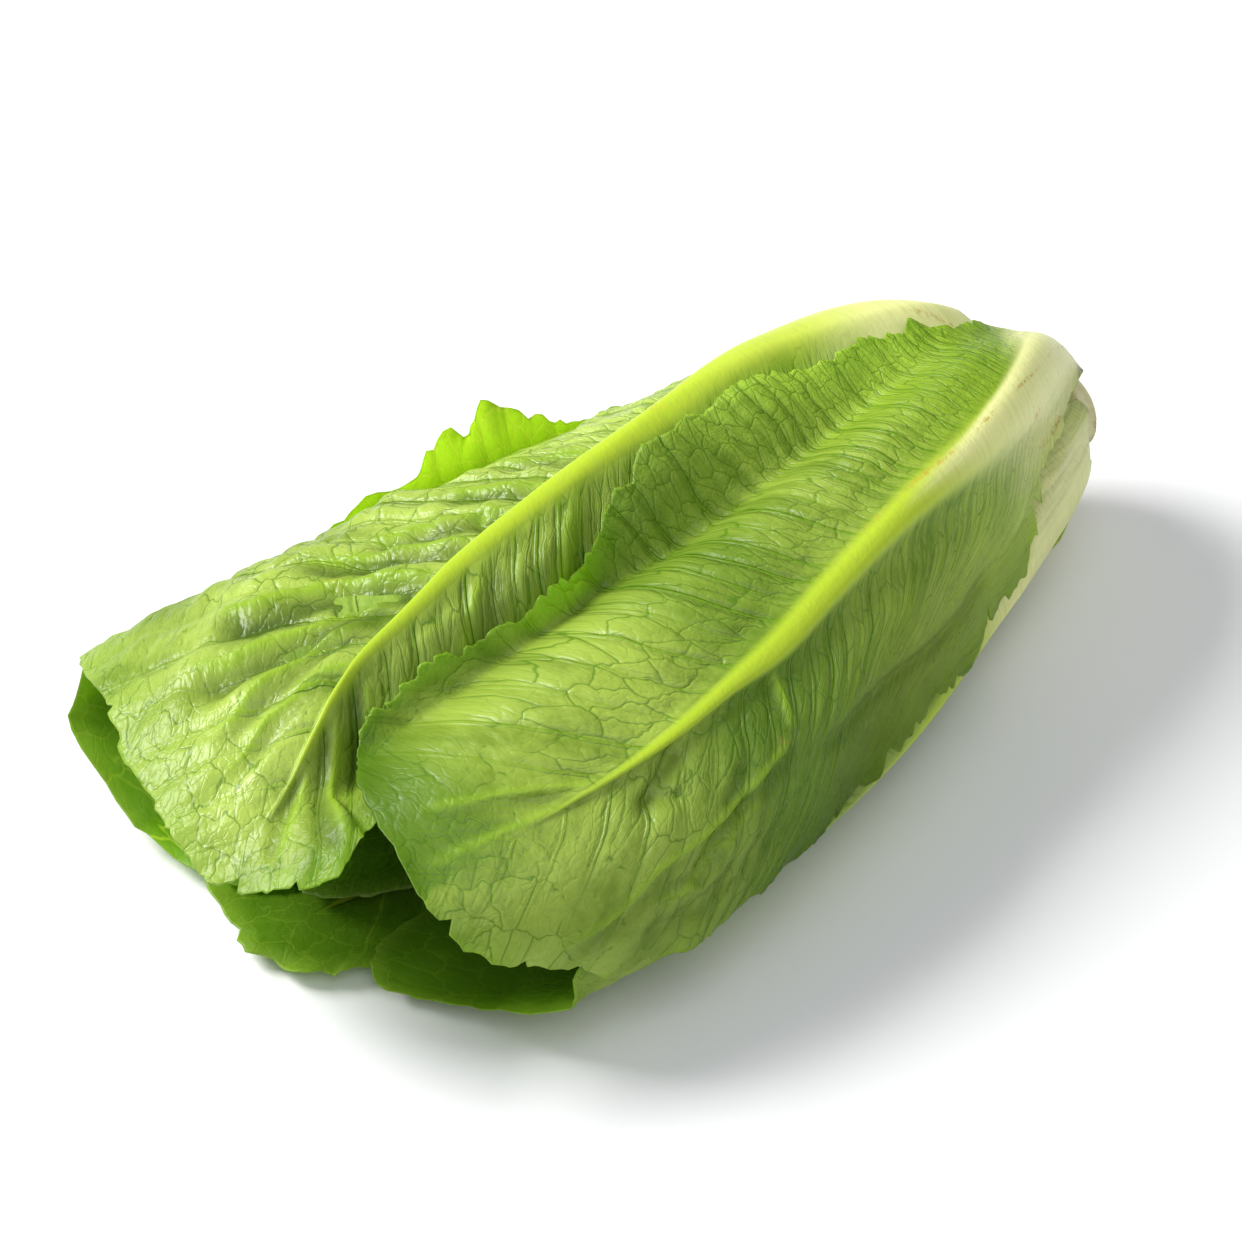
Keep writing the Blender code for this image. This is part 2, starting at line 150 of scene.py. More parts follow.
def soft_step(x):
    """Ease from 0 to 1 while x goes from 0 to 1."""
    x = np.clip(x, 0, 1)
    return x * x * (3 - 2 * x)


def bump(x, width):
    """Smooth hill, 1 at x = 0."""
    return np.exp(-((x / width) ** 2))


def turned(angle):
    """The angle brought into -180 to 180 degrees."""
    return (angle + 180) % 360 - 180


def floor_radius(s, phi):
    """Distance from the head's axis to the table."""
    down = -np.sin(np.radians(phi))
    return np.where(down > 1e-6, curve(STATION, AXIS_Z, s) / np.maximum(down, 1e-6), NO_FLOOR)


def head_radius(s, phi):
    """Outside of the whole head: distance from its axis at a station and an angle."""
    c = np.cos(np.radians(phi))
    d = np.sin(np.radians(phi))
    reach = np.where(c > 0, curve(STATION, FRONT_REACH, s), curve(STATION, BACK_REACH, s))
    axis = curve(STATION, AXIS_Z, s)
    tall = np.where(d > 0, curve(STATION, TOP_Z, s) - axis, axis - curve(STATION, BOTTOM_Z, s))
    across = (np.abs(c) / reach) ** SQUARENESS
    upright = (np.abs(d) / tall) ** SQUARENESS
    r = (across + upright) ** (-1 / SQUARENESS)
    off_valley = turned(phi - curve(STATION, VALLEY_ANGLE, s)) / VALLEY_WIDTH
    r = r - curve(STATION, VALLEY_DEPTH, s) * np.exp(-(off_valley**2))
    return np.minimum(r, floor_radius(s, phi))


def place(s, phi, r):
    """Point in metres at a station, an angle and a distance from the head's axis."""
    a = np.radians(phi)
    x = BUTT_X - s
    y = -np.cos(a) * r
    z = curve(STATION, AXIS_Z, s) + np.sin(a) * r
    return np.stack([x, y, z], -1) * MM


# Noise, the same each run because it comes from whole-number hashes.
def lattice(ix, iy, seed):
    """Number from 0 to 1 for each whole-number place."""
    h = ix.astype(np.int64) * 374761393 + iy.astype(np.int64) * 668265263 + seed * 974711
    h = (h ^ (h >> 13)) * 1274126177
    h = h & 0x7FFFFFFF
    h = (h ^ (h >> 16)) * 2246822519
    return ((h >> 8) & 0xFFFF) / 65535.0


def noise(x, y, seed):
    """Smooth noise from -1 to 1 with features about one unit across."""
    ix, iy = np.floor(x), np.floor(y)
    fx, fy = soft_step(x - ix), soft_step(y - iy)
    a = lattice(ix, iy, seed) * (1 - fx) + lattice(ix + 1, iy, seed) * fx
    b = lattice(ix, iy + 1, seed) * (1 - fx) + lattice(ix + 1, iy + 1, seed) * fx
    return 2 * (a * (1 - fy) + b * fy) - 1


def plain_side(start, tip, spread):
    """Outline of an ordinary leaf's half."""
    return tuple((q, start + f * (tip - start), h * spread) for q, f, h in PLAIN)


def make_leaf(name, rib_at, rib_angle, start, tip, left, right, sink, rib_width, rib_back,
              rows, columns, flare, look, lobes=()):
    """One leaf's dimensions; left and right are outlines, or degrees for an ordinary half."""
    if not isinstance(left, tuple):
        left = plain_side(start, tip, left)
    if not isinstance(right, tuple):
        right = plain_side(start, tip, right)
    return {"name": name, "rib_at": rib_at, "rib_angle": rib_angle, "start": start,
            "tip": tip, "left": left, "right": right, "sink": sink, "rib_width": rib_width,
            "rib_back": rib_back, "rows": rows, "columns": columns, "flare": flare,
            "look": look, "lobes": lobes}


OUTER_LEAVES = (
    make_leaf("leaf_under", (0, 60, 140, 200, 255), (280, 274, 268, 262, 258), 3, 255,
              UNDER_SIDE, UNDER_SIDE, (0, 0, 0, 0), (26, 24, 20, 16), (5, 4, 2, 0.4),
              130, 60, 0, "outer"),
    make_leaf("leaf_front", (5, 30, 60, 95, 140, 190, 245), (88, 65, 51, 44, 35, 29, 29), 4,
              244, FRONT_LEFT, FRONT_RIGHT, (3, 4, 2.6, 1.0), (22, 13, 9, 2.5), BROAD_BACK,
              220, 96, 1.5, "outer"),
    make_leaf("leaf_back_low", (0, 60, 120, 200, 258), (188, 194, 197, 198, 197), 7, 252,
              BACK_LOW_LEFT, BACK_LOW_RIGHT, (2, 2.4, 1.6, 0.8), (17, 11, 7, 2.5), BROAD_BACK,
              150, 64, 1.2, "outer", BACK_LOW_LOBE),
    make_leaf("leaf_front_low", (0, 40, 100, 180, 240), (342, 348, 346, 337, 321), 8, 240,
              FRONT_LOW_LEFT, FRONT_LOW_RIGHT, (3, 3, 2.2, 0.8), BROAD_RIB, BROAD_BACK,
              150, 64, 1.2, "outer"),
    make_leaf("leaf_back", (12, 40, 70, 110, 150, 190, 215, 250, 270),
              (118, 135, 135, 128, 123, 117, 108, 85, 76), 8, 269, BACK_LEFT, BACK_RIGHT,
              (3, 4, 3, 1.0), (20, 14, 9, 3), BROAD_BACK, 220, 96, 1.5, "outer"),
)
# Hidden leaves: name, degrees of the rib at its two ends, start, tip, spread of each half.
INNER_LEAVES = (
    ("leaf_inner_1", (242, 248), 14, 238, 52, 52), ("leaf_inner_2", (12, 20), 17, 219, 54, 50),
    ("leaf_inner_3", (150, 156), 20, 230, 52, 52),
)
HEART_LEAVES = (
    ("leaf_heart_1", (292, 296), 24, 212, 54, 54), ("leaf_heart_2", (70, 74), 28, 204, 58, 58),
    ("leaf_heart_3", (208, 212), 33, 194, 56, 56), ("leaf_heart_4", (340, 346), 38, 184, 66, 66),
)


def hidden_leaves(rows, section, flare, look):
    """Ordinary leaves inside the head, alike but for their place and size."""
    grid = (80, 32)
    return tuple(make_leaf(name, (0, 250), *place_and_size, *section, *grid, flare, look)
                 for name, *place_and_size in rows)


LEAVES = (
    OUTER_LEAVES
    + hidden_leaves(INNER_LEAVES, (INNER_SINK, INNER_RIB, INNER_BACK), 1.2, "inner")
    + hidden_leaves(HEART_LEAVES, (HEART_SINK, HEART_RIB, HEART_BACK), 1.0, "heart")
)
FIRST_INNER = 5


def share(leaf, s):
    """How far along the leaf a station lies, 0 at its base and 1 at its tip."""
    return (s - leaf["start"]) / (leaf["tip"] - leaf["start"])


def off_rib(leaf, s, phi):
    """Degrees from the leaf's rib."""
    return turned(phi - curve(leaf["rib_at"], leaf["rib_angle"], s))


def half_width(leaf, s, off):
    """Degrees from the rib to the margin on the side that off lies on."""
    halves = []
    for side in ("left", "right"):
        rows = sorted((station, half) for _, station, half in leaf[side])
        halves.append(np.interp(s, [row[0] for row in rows], [row[1] for row in rows]))
    return np.where(off > 0, halves[0], halves[1])


def sink(leaf, s, v):
    """How deep the blade lies under the rib's crest, v mm from the rib."""
    deepest = curve(SECTION_SHARE, leaf["sink"], share(leaf, s))
    return deepest * np.exp(-((np.abs(v) / SINK_SPAN) ** 3))


def rib(leaf, s, v):
    """1 on the rib, 0 on the blade."""
    half = curve(SECTION_SHARE, leaf["rib_width"], share(leaf, s)) / 2
    return np.exp(-((np.abs(v) / half) ** RIB_EDGE))


def cover(leaf, s, phi, skirt):
    """1 where the leaf lies over the ones inside it, easing to 0 past its margin."""
    off = off_rib(leaf, s, phi)
    r = np.maximum(head_radius(s, phi), LEAST_RADIUS)
    beyond = np.radians(np.abs(off) - half_width(leaf, s, off)) * r
    across = 1 - soft_step((beyond - SKIRT_START) / skirt)
    along = 1 - soft_step((s - leaf["tip"] - TIP_SKIRT_START) / TIP_SKIRT_WIDTH)
    begun = soft_step((s - leaf["start"] + BASE_SKIRT_START) / BASE_SKIRT_WIDTH)
    return across * along * begun


def room(leaf, s, phi):
    """Depth the leaf takes up, with the gap under it."""
    off = off_rib(leaf, s, phi)
    v = np.radians(off) * head_radius(s, phi)
    near = np.abs(off) < 90
    swell = curve(SECTION_SHARE, leaf["rib_back"], share(leaf, s)) * rib(leaf, s, v)
    return near * (sink(leaf, s, v) + swell) + BLADE + GAP


def depth(number, s, phi):
    """Depth under the head's outside at which a leaf starts, from the leaves over it."""
    skirt = SKIRT_WIDTH if number < FIRST_INNER else WIDE_SKIRT_WIDTH
    total = np.zeros(np.shape(s))
    for leaf in LEAVES[:number]:
        total = total + cover(leaf, s, phi, skirt) * room(leaf, s, phi)
    return total


def uncovered(number, s, phi):
    """1 where no other leaf lies over this one."""
    over = np.zeros(np.shape(s))
    for other in LEAVES[:number]:
        over = over + cover(other, s, phi, SKIRT_WIDTH)
    return 1 - np.clip(over, 0, 1)


def margin_bites(w, seed):
    """How far in mm the cut edge departs from the smooth outline."""
    p = w * 26 + seed * 5.7
    wander = 1.3 * noise(p, p * 0 + seed, seed) + 0.9 * noise(p * 2.7, p * 0 + seed, seed + 3)
    teeth = 1.1 * np.abs(noise(p * 6.1, p * 0 + seed, seed + 5)) - 0.5
    nick = np.clip(noise(p * 3.3, p * 0 + seed, seed + 9) - 0.72, 0, 1) * 12
    return wander + teeth - nick - 0.6


def raggedness(leaf, w, end):
    """How much deeper than usual the margin is cut, from place to place."""
    extra = 1 + 0 * w
    for side, at, reach, amount in detail(leaf, "ragged"):
        extra = extra + amount * (w * side > 0) * bump(end - at, reach)
    return extra


def leaf_lines(leaf, seed):
    """Grid over a leaf: stations, angles, share from rib to margin, and place along the margin.

    Rows run from the left base over the tip to the right base, columns from rib to margin."""
    rows, columns = leaf["rows"], leaf["columns"]
    w = np.linspace(-1, 1, 2 * rows + 1)
    q = 1 - np.abs(w)
    t = np.linspace(0, 1, columns + 1)[None, :] ** 1.12
    rib_s = leaf["start"] + (leaf["tip"] - leaf["start"]) * RIB_END * q
    ends = []
    halves = []
    for side in ("left", "right"):
        walked = [row[0] for row in leaf[side]]
        ends.append(curve(walked, [row[1] for row in leaf[side]], q))
        halves.append(np.maximum(curve(walked, [row[2] for row in leaf[side]], q), 0))
    end = np.where(w < 0, ends[0], ends[1])
    half = np.where(w < 0, halves[0], -halves[1])
    width = np.hypot(np.radians(half) * 50, end - rib_s) + 6
    bite = margin_bites(w, seed) * raggedness(leaf, w, end) * soft_step((q - 0.04) / 0.1)
    bite = (bite / width)[:, None]
    t = t * (1 + bite * t**4)
    s = rib_s[:, None] + (end - rib_s)[:, None] * t**1.15
    phi = curve(leaf["rib_at"], leaf["rib_angle"], s) + half[:, None] * t
    return s, phi, t + 0 * s, w[:, None] + 0 * s


# Looks that only some leaves have. Stations are mm from the cut stem, offsets mm from the rib,
# positive on the leaf's left half. A rib's band is given by its centre and half width.
# A stroke has points, height, half width, depth of the valley, its spread and its shift.
DETAIL = {
    "leaf_front": {
        "rib_at": (0, 25, 50, 75, 100, 125, 145, 160, 175, 190, 212, 220),
        "rib_centre": (-2, -1, -1, 0, -0.2, -0.5, -0.9, 0, 0.2, 0.6, 1, 1),
        "rib_half": (8, 7, 6, 5, 3.8, 3.4, 3.0, 1.9, 1.4, 0.9, 0.4, 0),
        "sweep": ((0.3, 0.55, 0.9, 1.2, 1.4, 1.7), (1.3, 1.4, 1.3, 1.1, 1.2, 1.6)),
        "bend": ((12, 13, 15, 20, 40, 90), (25, 22, 22, 24, 40, 90)),
        "trail": (0, 0.13),
        "puff": ((0.15, 0.3, 0.5, 0.8, 0.7, 0.1), (0.1, 0.15, 0.3, 0.6, 0.5, 0.1)), "waves": 1.5,
        "pale": (((0, 3.5, 5, 10, 20), (72, 55, 30, 12, 0), 28),
                 ((0, 5, 8, 20, 34), (60, 42, 34, 26, 20), 38)),
        "strokes": (
            (((148, -4), (150, -10), (152, -17)), 0.7, 0.9, 0.5, 2.2, 2.6),
            (((152, -17), (165, -18.5), (177, -20), (197, -20), (208, -24), (230, -26)),
             0.6, 0.9, 0.9, 2.6, -2.4),
            (((167, -22), (177, -24), (190, -28), (200, -27)), 0.4, 0.8, 1.0, 1.7, 2.0),
            (((73, -28), (88, -31), (100, -31), (120, -28), (140, -26), (152, -24)),
             0, 1, 1.5, 2.2, 0),
            (((178, -2.5), (186, -6), (196, -9)), 0, 1, 1.8, 2.0, 0),
            (((183, -11), (192, -7.5)), 0, 1, 1.3, 1.6, 0),
            (((167, -14), (177, -19)), 0, 1, 1.2, 1.6, 0),
            (((180, -25), (187, -26.5), (190, -30)), 0, 1, 1.8, 1.5, 0),
            (((198, 1), (215, 8), (232, 13)), 0.4, 0.8, 0.6, 2.0, -2.2),
            (((160, -31), (190, -34), (208, -33)), 0, 1, 0.9, 3.0, 0),
            (((205, 0.8), (222, 2.5), (240, 4)), 0.3, 0.7, 0.4, 1.8, 1.8),
        ),
        "scars": (
            (((3, -4.5), (25, -1.5), (45, 1.5), (65, 3.0), (90, 3.4), (122, 2.7)), 0.2),
            (((7, -11), (12, -13), (16, -13.5)), 0.6),
            (((25, -13), (34, -14.5), (46, -14.5)), 0.35),
            (((30, -6), (42, -7.5)), 0.3),
            (((2, -6), (9, -7)), 0.8),
            (((155, -16.5), (159, -15.8)), 1.0),
        ),
        "lips": ((-1, 166, 15, 6.0, 0.86), (-1, 196, 24, 3.0, 0.8), (-1, 110, 30, 2.0, 0.85)),
        "glow": ((1, 164, 26, 0.84), (1, 205, 22, 0.9)),
        "ragged": ((-1, 50, 30, 0.8), (1, 60, 30, 1.6), (1, 115, 30, 1.0)),
        # Painted light and shade along each half: above 0 the green is painted darker as shade, below
        # 0 lighter as light. The patches below add painted light near the tip on the right half.
        "shade": ((0.0, 0.1, 0.2, 0.5, -0.2, 1.7), (-0.9, -0.7, 0.1, 0.8, 0.2, 0.3)),
        "patches": ((-1, 225, 18, 0.5, -1.3),),
        # Painted light: these stretches are painted a lighter green, as if lit through from behind.
        "fresh": ((1, 72, 46, 0.5), (-1, 58, 60, 0.0)),
        "dried": (((3, -3), (6, -9), (10, -14)), 2.2),
    },
    "leaf_back": {
        "rib_at": (0, 25, 50, 75, 100, 125, 150, 175, 200, 215, 235, 250, 258),
        "rib_centre": (-2, -4, -5, -5, -3, -2, -1.8, -1.7, -1.2, 0, 0.3, -1.2, -2),
        "rib_half": (16, 17, 13, 7, 4.0, 3.1, 2.8, 2.4, 1.7, 1.2, 0.8, 0.4, 0),
        "sweep": ((0.4, 0.5, 0.6, 0.8, 1.0, 1.3), (1.6, 1.8, 2.0, 1.6, 1.2, 1.3)),
        "bend": ((18, 20, 30, 50, 60, 90), (20, 20, 24, 40, 60, 90)),
        "trail": (0, 0),
        "puff": ((0.15, 0.25, 1.0, 1.7, 1.6, 0.4), (0.15, 0.25, 0.6, 1.0, 1.2, 0.4)), "waves": 1.8,
        "pale": (((0, 12, 20, 40), (22, 30, 44, 40), 44),) * 2,
        "strokes": (
            (((183, 1), (200, 25), (217, 37), (224, 49)), 0.9, 1.1, 2.6, 4.0, -4.6),
            (((192, 4), (208, 17), (222, 27), (233, 35), (240, 46)), 0.7, 1.0, 2.0, 3.2, -4.0),
            (((198, 4), (215, 14), (233, 22), (250, 25)), 0.6, 0.9, 1.4, 2.6, -3.2),
            (((213, 1), (225, 10), (237, 14), (255, 15)), 0.5, 0.8, 1.0, 2.4, -3.0),
            (((158, 4), (172, 17), (186, 28)), 0.6, 0.9, 2.0, 3.0, -3.6),
            (((146, 3), (153, 12), (164, 24)), 0.5, 0.9, 1.4, 2.6, -3.2),
            (((131, 3), (137, 12), (148, 23)), 0.5, 0.9, 1.3, 2.6, -3.2),
            (((170, 3), (180, 14), (193, 28), (202, 40)), 0.6, 0.9, 1.8, 2.8, -3.4),
            (((164, 10), (166, 1)), 0, 1, 2.6, 1.6, 0),
            (((206, 18), (200, 13.3), (190.5, 7.5)), 0, 1, 3.0, 1.7, 0),
            (((143, -5), (155, -10), (166, -14)), 0.5, 0.8, 1.0, 2.0, -2.4),
            (((117, -5), (130, -9), (142, -12)), 0.5, 0.8, 0.8, 2.0, -2.4),
            (((172, -4), (186, -9), (200, -14)), 0.4, 0.8, 1.6, 2.4, -2.6),
            (((226, -2), (236, -9), (243, -18), (246, -26)), 0.5, 0.8, 1.4, 2.8, 3.2),
            (((214, -2), (224, -10), (231, -20)), 0.4, 0.8, 1.8, 3.0, 3.4),
            (((238, -2), (249, -7), (258, -12)), 0.4, 0.8, 0.9, 2.2, 2.6),
        ),
        "scars": (
            (((99, -1.5), (107, -0.8), (114, -1.8), (106, -3.2)), 0.35),
            (((198, 23.5), (200, 25.5)), 0.9),
            (((20, -12), (50, -16)), 0.3),
        ),
        # Painted light and shade along each half: above 0 painted darker as shade, below 0 painted
        # lighter as light.
        "shade": ((0, -0.5, -1.0, -0.6, -0.5, -0.7), (0, 0, 0.1, 0, 0.2, -0.5)),
        "glow": ((-1, 250, 16, 0.7),),
    },
    "leaf_front_low": {
        "pale": (((0, 30), (56, 48), 26),) * 2,
        "dried": (((3, 3), (4, 14), (5, 26)), 3.6),
    },
    "leaf_back_low": {
        "glow": ((-1, 138, 45, 0.35), (1, 238, 26, 0.3)),
        # Painted light: the lobe is painted a lighter green, as if lit through from behind.
        "fresh": ((-1, 138, 55, 0.0),),
        "ragged": ((1, 138, 34, 2.2),),
        "lips": ((1, 134, 3.5, 4.0, 0.8), (1, 142, 3.0, -3.5, 0.75), (1, 152, 4.5, 2.5, 0.8)),
    },
    "leaf_under": {
        "puff": ((0.1, 0.15, 0.2, 0.3, 0.3, 0.2),) * 2, "waves": 0.6,
        "lips": ((-1, 118, 42, 5.0, 0.84),),
        "ragged": ((-1, 118, 42, 1.6),),
    },
}
# Looks of a leaf without its own.
ORDINARY = {
    "sweep": ((0.5, 0.8, 1.0, 1.1, 1.2, 1.4),) * 2, "bend": ((18, 18, 20, 30, 50, 90),) * 2,
    "trail": (0, 0), "puff": ((0.15, 0.3, 0.5, 0.7, 0.8, 0.7),) * 2, "waves": 1.0,
    "pale": (((0, 20), (28, 24), 40),) * 2, "shade": ((0, 0, 0, 0, 0, 0),) * 2,
    "strokes": (), "scars": (), "lips": (), "glow": (), "ragged": (), "dried": (),
    "patches": (), "fresh": (),
}
LOOK_SHARE = (0, 0.2, 0.4, 0.6, 0.8, 1.0)
VEIN_GAP = (2.4, 2.9, 4.8, 8.5, 12.0, 15.0)


def detail(leaf, key):
    """A look of one leaf, or the ordinary one."""
    return DETAIL.get(leaf["name"], {}).get(key, ORDINARY.get(key))


def rib_band(leaf, s):
    """Centre and half width in mm of the rib's visible band."""
    if detail(leaf, "rib_at"):
        keys = detail(leaf, "rib_at")
        centre = curve(keys, detail(leaf, "rib_centre"), s)
        return centre, np.maximum(curve(keys, detail(leaf, "rib_half"), s), 0)
    half = curve(SECTION_SHARE, leaf["rib_width"], share(leaf, s)) * 0.42
    return 0 * s, half * (1 - soft_step((share(leaf, s) - 0.7) / 0.25))


def on_band(leaf, s, v, widen=1.0):
    """1 on the rib's band and 0 on the blade."""
    centre, half = rib_band(leaf, s)
    wide = np.maximum(half * widen, 0.5)
    return np.exp(-((np.abs(v - centre) / wide) ** RIB_EDGE)) * soft_step(half / 1.2)


def by_side(leaf, key, s, v):
    """A keyed look of the half that v lies on."""
    left, right = detail(leaf, key)
    q = share(leaf, s)
    return np.where(v > 0, curve(LOOK_SHARE, left, q), curve(LOOK_SHARE, right, q))


def vein_count(leaf, at):
    """How many lateral veins leave the rib before a station, and the mm between them there."""
    q = np.linspace(-0.8, 1.4, 900)
    gap = curve(LOOK_SHARE, VEIN_GAP, q)
    length = leaf["tip"] - leaf["start"]
    total = np.cumsum(1 / gap) * (q[1] - q[0]) * length
    return np.interp(share(leaf, at), q, total), curve(LOOK_SHARE, VEIN_GAP, share(leaf, at))


def vein_frame(leaf, s, v, seed):
    """Running number across the lateral veins, and the mm from one to the next."""
    reach = np.abs(v)
    sweep = by_side(leaf, "sweep", s, v)
    bend = by_side(leaf, "bend", s, v)
    trail = np.where(v > 0, *detail(leaf, "trail")) * bump(s - 100, 55)
    past = np.clip(reach - 12, 0, None)
    at = s - sweep * bend * (1 - np.exp(-reach / bend)) - trail * past**2
    loose = soft_step(reach / 8)
    wander = 1.5 * noise(s / 21, v / 15, seed + 11) + 0.5 * noise(s / 8, v / 7, seed + 12)
    at = at + loose * wander
    number, gap = vein_count(leaf, at)
    slope = sweep * np.exp(-reach / bend) + 2 * trail * past
    return number, gap / np.sqrt(1 + slope**2)


def puffs(leaf, s, v, number, seed):
    """Swelling in mm between the lateral veins, broken into beads along them."""
    row = np.floor(number)
    body = np.abs(np.sin(np.pi * number)) ** 0.8
    beads = 0.75 + 0.5 * noise(row * 3.7, np.abs(v) / 6.0, seed + 25)
    beads = beads + 0.3 * noise(row * 5.1, np.abs(v) / 2.9, seed + 26)
    return body * beads * by_side(leaf, "puff", s, v)


def stroke_frame(points, s, v):
    """Signed distance in mm from a drawn line, and how far from its ends, 0 to 1."""
    best = np.full(np.shape(s), 1e9)
    signed = np.zeros(np.shape(s))
    ends = np.zeros(np.shape(s))
    parts = len(points) - 1
    for number, ((s0, v0), (s1, v1)) in enumerate(zip(points[:-1], points[1:])):
        ds, dv = s1 - s0, v1 - v0
        f = np.clip(((s - s0) * ds + (v - v0) * dv) / (ds * ds + dv * dv), 0, 1)
        away_s, away_v = s - s0 - f * ds, v - v0 - f * dv
        distance = np.hypot(away_s, away_v)
        side = np.where(ds * away_v - dv * away_s > 0, 1, -1)
        nearer = distance < best
        best = np.where(nearer, distance, best)
        signed = np.where(nearer, distance * side, signed)
        along = (number + f) / parts
        window = soft_step((along + 0.04) / 0.16) * soft_step((1.02 - along) / 0.25)
        ends = np.where(nearer, window, ends)
    return signed, ends


def strokes(leaf, s, v):
    """Relief in mm, vein line and painted shade in the valleys of the leaf's drawn veins and folds.
    """
    relief = np.zeros(np.shape(s))
    line = np.zeros(np.shape(s))
    dark = np.zeros(np.shape(s))
    for points, height, half, deep, spread, shift in detail(leaf, "strokes"):
        signed, window = stroke_frame(points, s, v)
        ridge = bump(signed, half) * window
        valley = bump(signed - shift, spread) * window
        relief = relief + height * ridge - deep * valley
        line = np.maximum(line, bump(signed, 1.25 * half) * window * min(height * 2, 1))
        # Painted shade: the valley beside each stroke is darkened in colour as well as sunk.
        dark = np.maximum(dark, valley * min(deep / 2.4, 1) * (1 - 0.7 * ridge))
    return relief, line, dark


def scar_mask(leaf, s, v):
    """1 on the dried scars of a leaf."""
    mask = np.zeros(np.shape(s))
    for points, half in detail(leaf, "scars"):
        signed, window = stroke_frame(points, s, v)
        mask = np.maximum(mask, bump(signed, half + 0.25) * window)
    return mask


def margin_mask(leaf, key, s, v, t):
    """1 on the stretches of margin listed under a key."""
    mask = np.zeros(np.shape(s))
    for side, at, reach, start in detail(leaf, key):
        edge = soft_step((t - start) / (1 - start))
        mask = np.maximum(mask, (v * side > 0) * bump(s - at, reach) * edge)
    return mask


def dried_mask(leaf, s, v):
    """1 on the brown dried patch by the stem."""
    if not detail(leaf, "dried"):
        return np.zeros(np.shape(s))
    points, half = detail(leaf, "dried")
    signed, _ = stroke_frame(points, s, v)
    return bump(signed, half)


def painted_light_and_shade_mask(leaf, s, v, t):
    """Painted light and shade: above 0 where the green is painted darker as shade, below 0 where it
    is painted lighter as light.
    """
    left, right = detail(leaf, "shade")
    q = share(leaf, s)
    f = soft_step((v + 6) / 12)
    mask = f * curve(LOOK_SHARE, left, q) + (1 - f) * curve(LOOK_SHARE, right, q)
    for side, at, reach, start, amount in detail(leaf, "patches"):
        edge = soft_step((t - start) / (1 - start))
        mask = mask + amount * (v * side > 0) * bump(s - at, reach) * edge
    return mask


def pale_mask(leaf, s, v):
    """1 on the whitish part toward the stem."""
    sides = []
    for reach, until, fade in detail(leaf, "pale"):
        sides.append(1 - soft_step((s - curve(reach, until, np.abs(v))) / fade))
    return np.where(v > 0, *sides)


def margin_wave(number, s, phi, t, w, seed):
    """How far the leaf's edge stands out, only where no other leaf lies over it."""
    leaf = LEAVES[number]
    free = uncovered(number, s, phi)
    ripple = 0.6 + 0.4 * np.sin(w * 23 + number * 2.1) + 0.35 * np.sin(w * 51 + number)
    wave = leaf["flare"] * t**4 * ripple
    frill = noise(w * 34 + seed, w * 0 + seed, seed + 31) * 1.2
    frill = frill + noise(w * 71 + seed, w * 0 + seed, seed + 32) * 0.6
    frill = frill * soft_step((1 - np.abs(w)) / 0.12)
    wave = (wave + frill * soft_step((t - 0.72) / 0.28) ** 2) * free
    for side, at, reach, lift in leaf["lobes"]:
        wave = wave + lift * (w * side < 0) * t**2.2 * np.exp(-(((s - at) / reach) ** 2))
    for side, at, reach, lift, start in detail(leaf, "lips"):
        curl = np.clip((t - start) / (1 - start), 0, 1) ** 1.6
        wave = wave + lift * (w * side > 0) * curl * bump(s - at, reach)
    return wave


def leaf_relief(number, s, phi, v, seed):
    """Surface relief in mm, with the masks for the colours."""
    leaf = LEAVES[number]
    band = on_band(leaf, s, v)
    blade = 1 - on_band(leaf, s, v, 1.5)
    amount = 0.25 + 0.75 * uncovered(number, s, phi)
    ripe = soft_step((share(leaf, s) - 0.06) / 0.3)
    count, gap = vein_frame(leaf, s, v, seed)
    broad = 1.0 * noise(s / 31, v / 19, seed + 41) + 0.5 * noise(s / 15, v / 11, seed + 42)
    broad = broad * detail(leaf, "waves") * ripe * soft_step((np.abs(v) - 4) / 16)
    drawn, line, dark = strokes(leaf, s, v)
    swell = puffs(leaf, s, v, count, seed) * soft_step((np.abs(v) - 2) / 7)
    relief = (broad + swell - 0.3) * blade * amount + drawn * np.clip(blade * 1.3, 0, 1)
    masks = {"rib": band, "line": line * blade, "dark": dark * blade,
             "count": count, "gap": gap, "pale": pale_mask(leaf, s, v),
             "scar": scar_mask(leaf, s, v)}
    return relief, masks


def leaf_faces(number, s, phi, t, w, seed):
    """Outer and inner distances from the head's axis, and the masks for the colours."""
    leaf = LEAVES[number]
    outside = head_radius(s, phi)
    v = np.radians(off_rib(leaf, s, phi)) * outside
    sunk = sink(leaf, s, v)
    crest = sunk * on_band(leaf, s, v, 1.3)
    swell = curve(SECTION_SHARE, leaf["rib_back"], share(leaf, s)) * rib(leaf, s, v)
    thin = BLADE * (1 - 0.45 * t**6)
    relief, masks = leaf_relief(number, s, phi, v, seed)
    wave = margin_wave(number, s, phi, t, w, seed)
    base = outside - depth(number, s, phi) - sunk + wave + relief
    near_base = np.clip((s - leaf["start"]) / BASE_ROUND, 0, 1)
    rounding = (1 - np.sqrt(1 - (1 - near_base) ** 2)) * (thin + swell + crest) * 0.5
    outer = np.minimum(base + crest - rounding, floor_radius(s, phi))
    inner = np.minimum(base - thin - swell + rounding, outer - LEAST_BLADE)
    masks["v"] = v
    return outer, inner, masks


def grid_index(rows, columns):
    """Point numbers of a leaf's grid, with the rib's points shared by both halves."""
    index = np.zeros((2 * rows + 1, columns + 1), int)
    index[: rows + 1, 0] = np.arange(rows + 1)
    index[rows + 1 :, 0] = np.arange(rows - 1, -1, -1)
    index[:, 1:] = (rows + 1) + np.arange((2 * rows + 1) * columns).reshape(-1, columns)
    return index


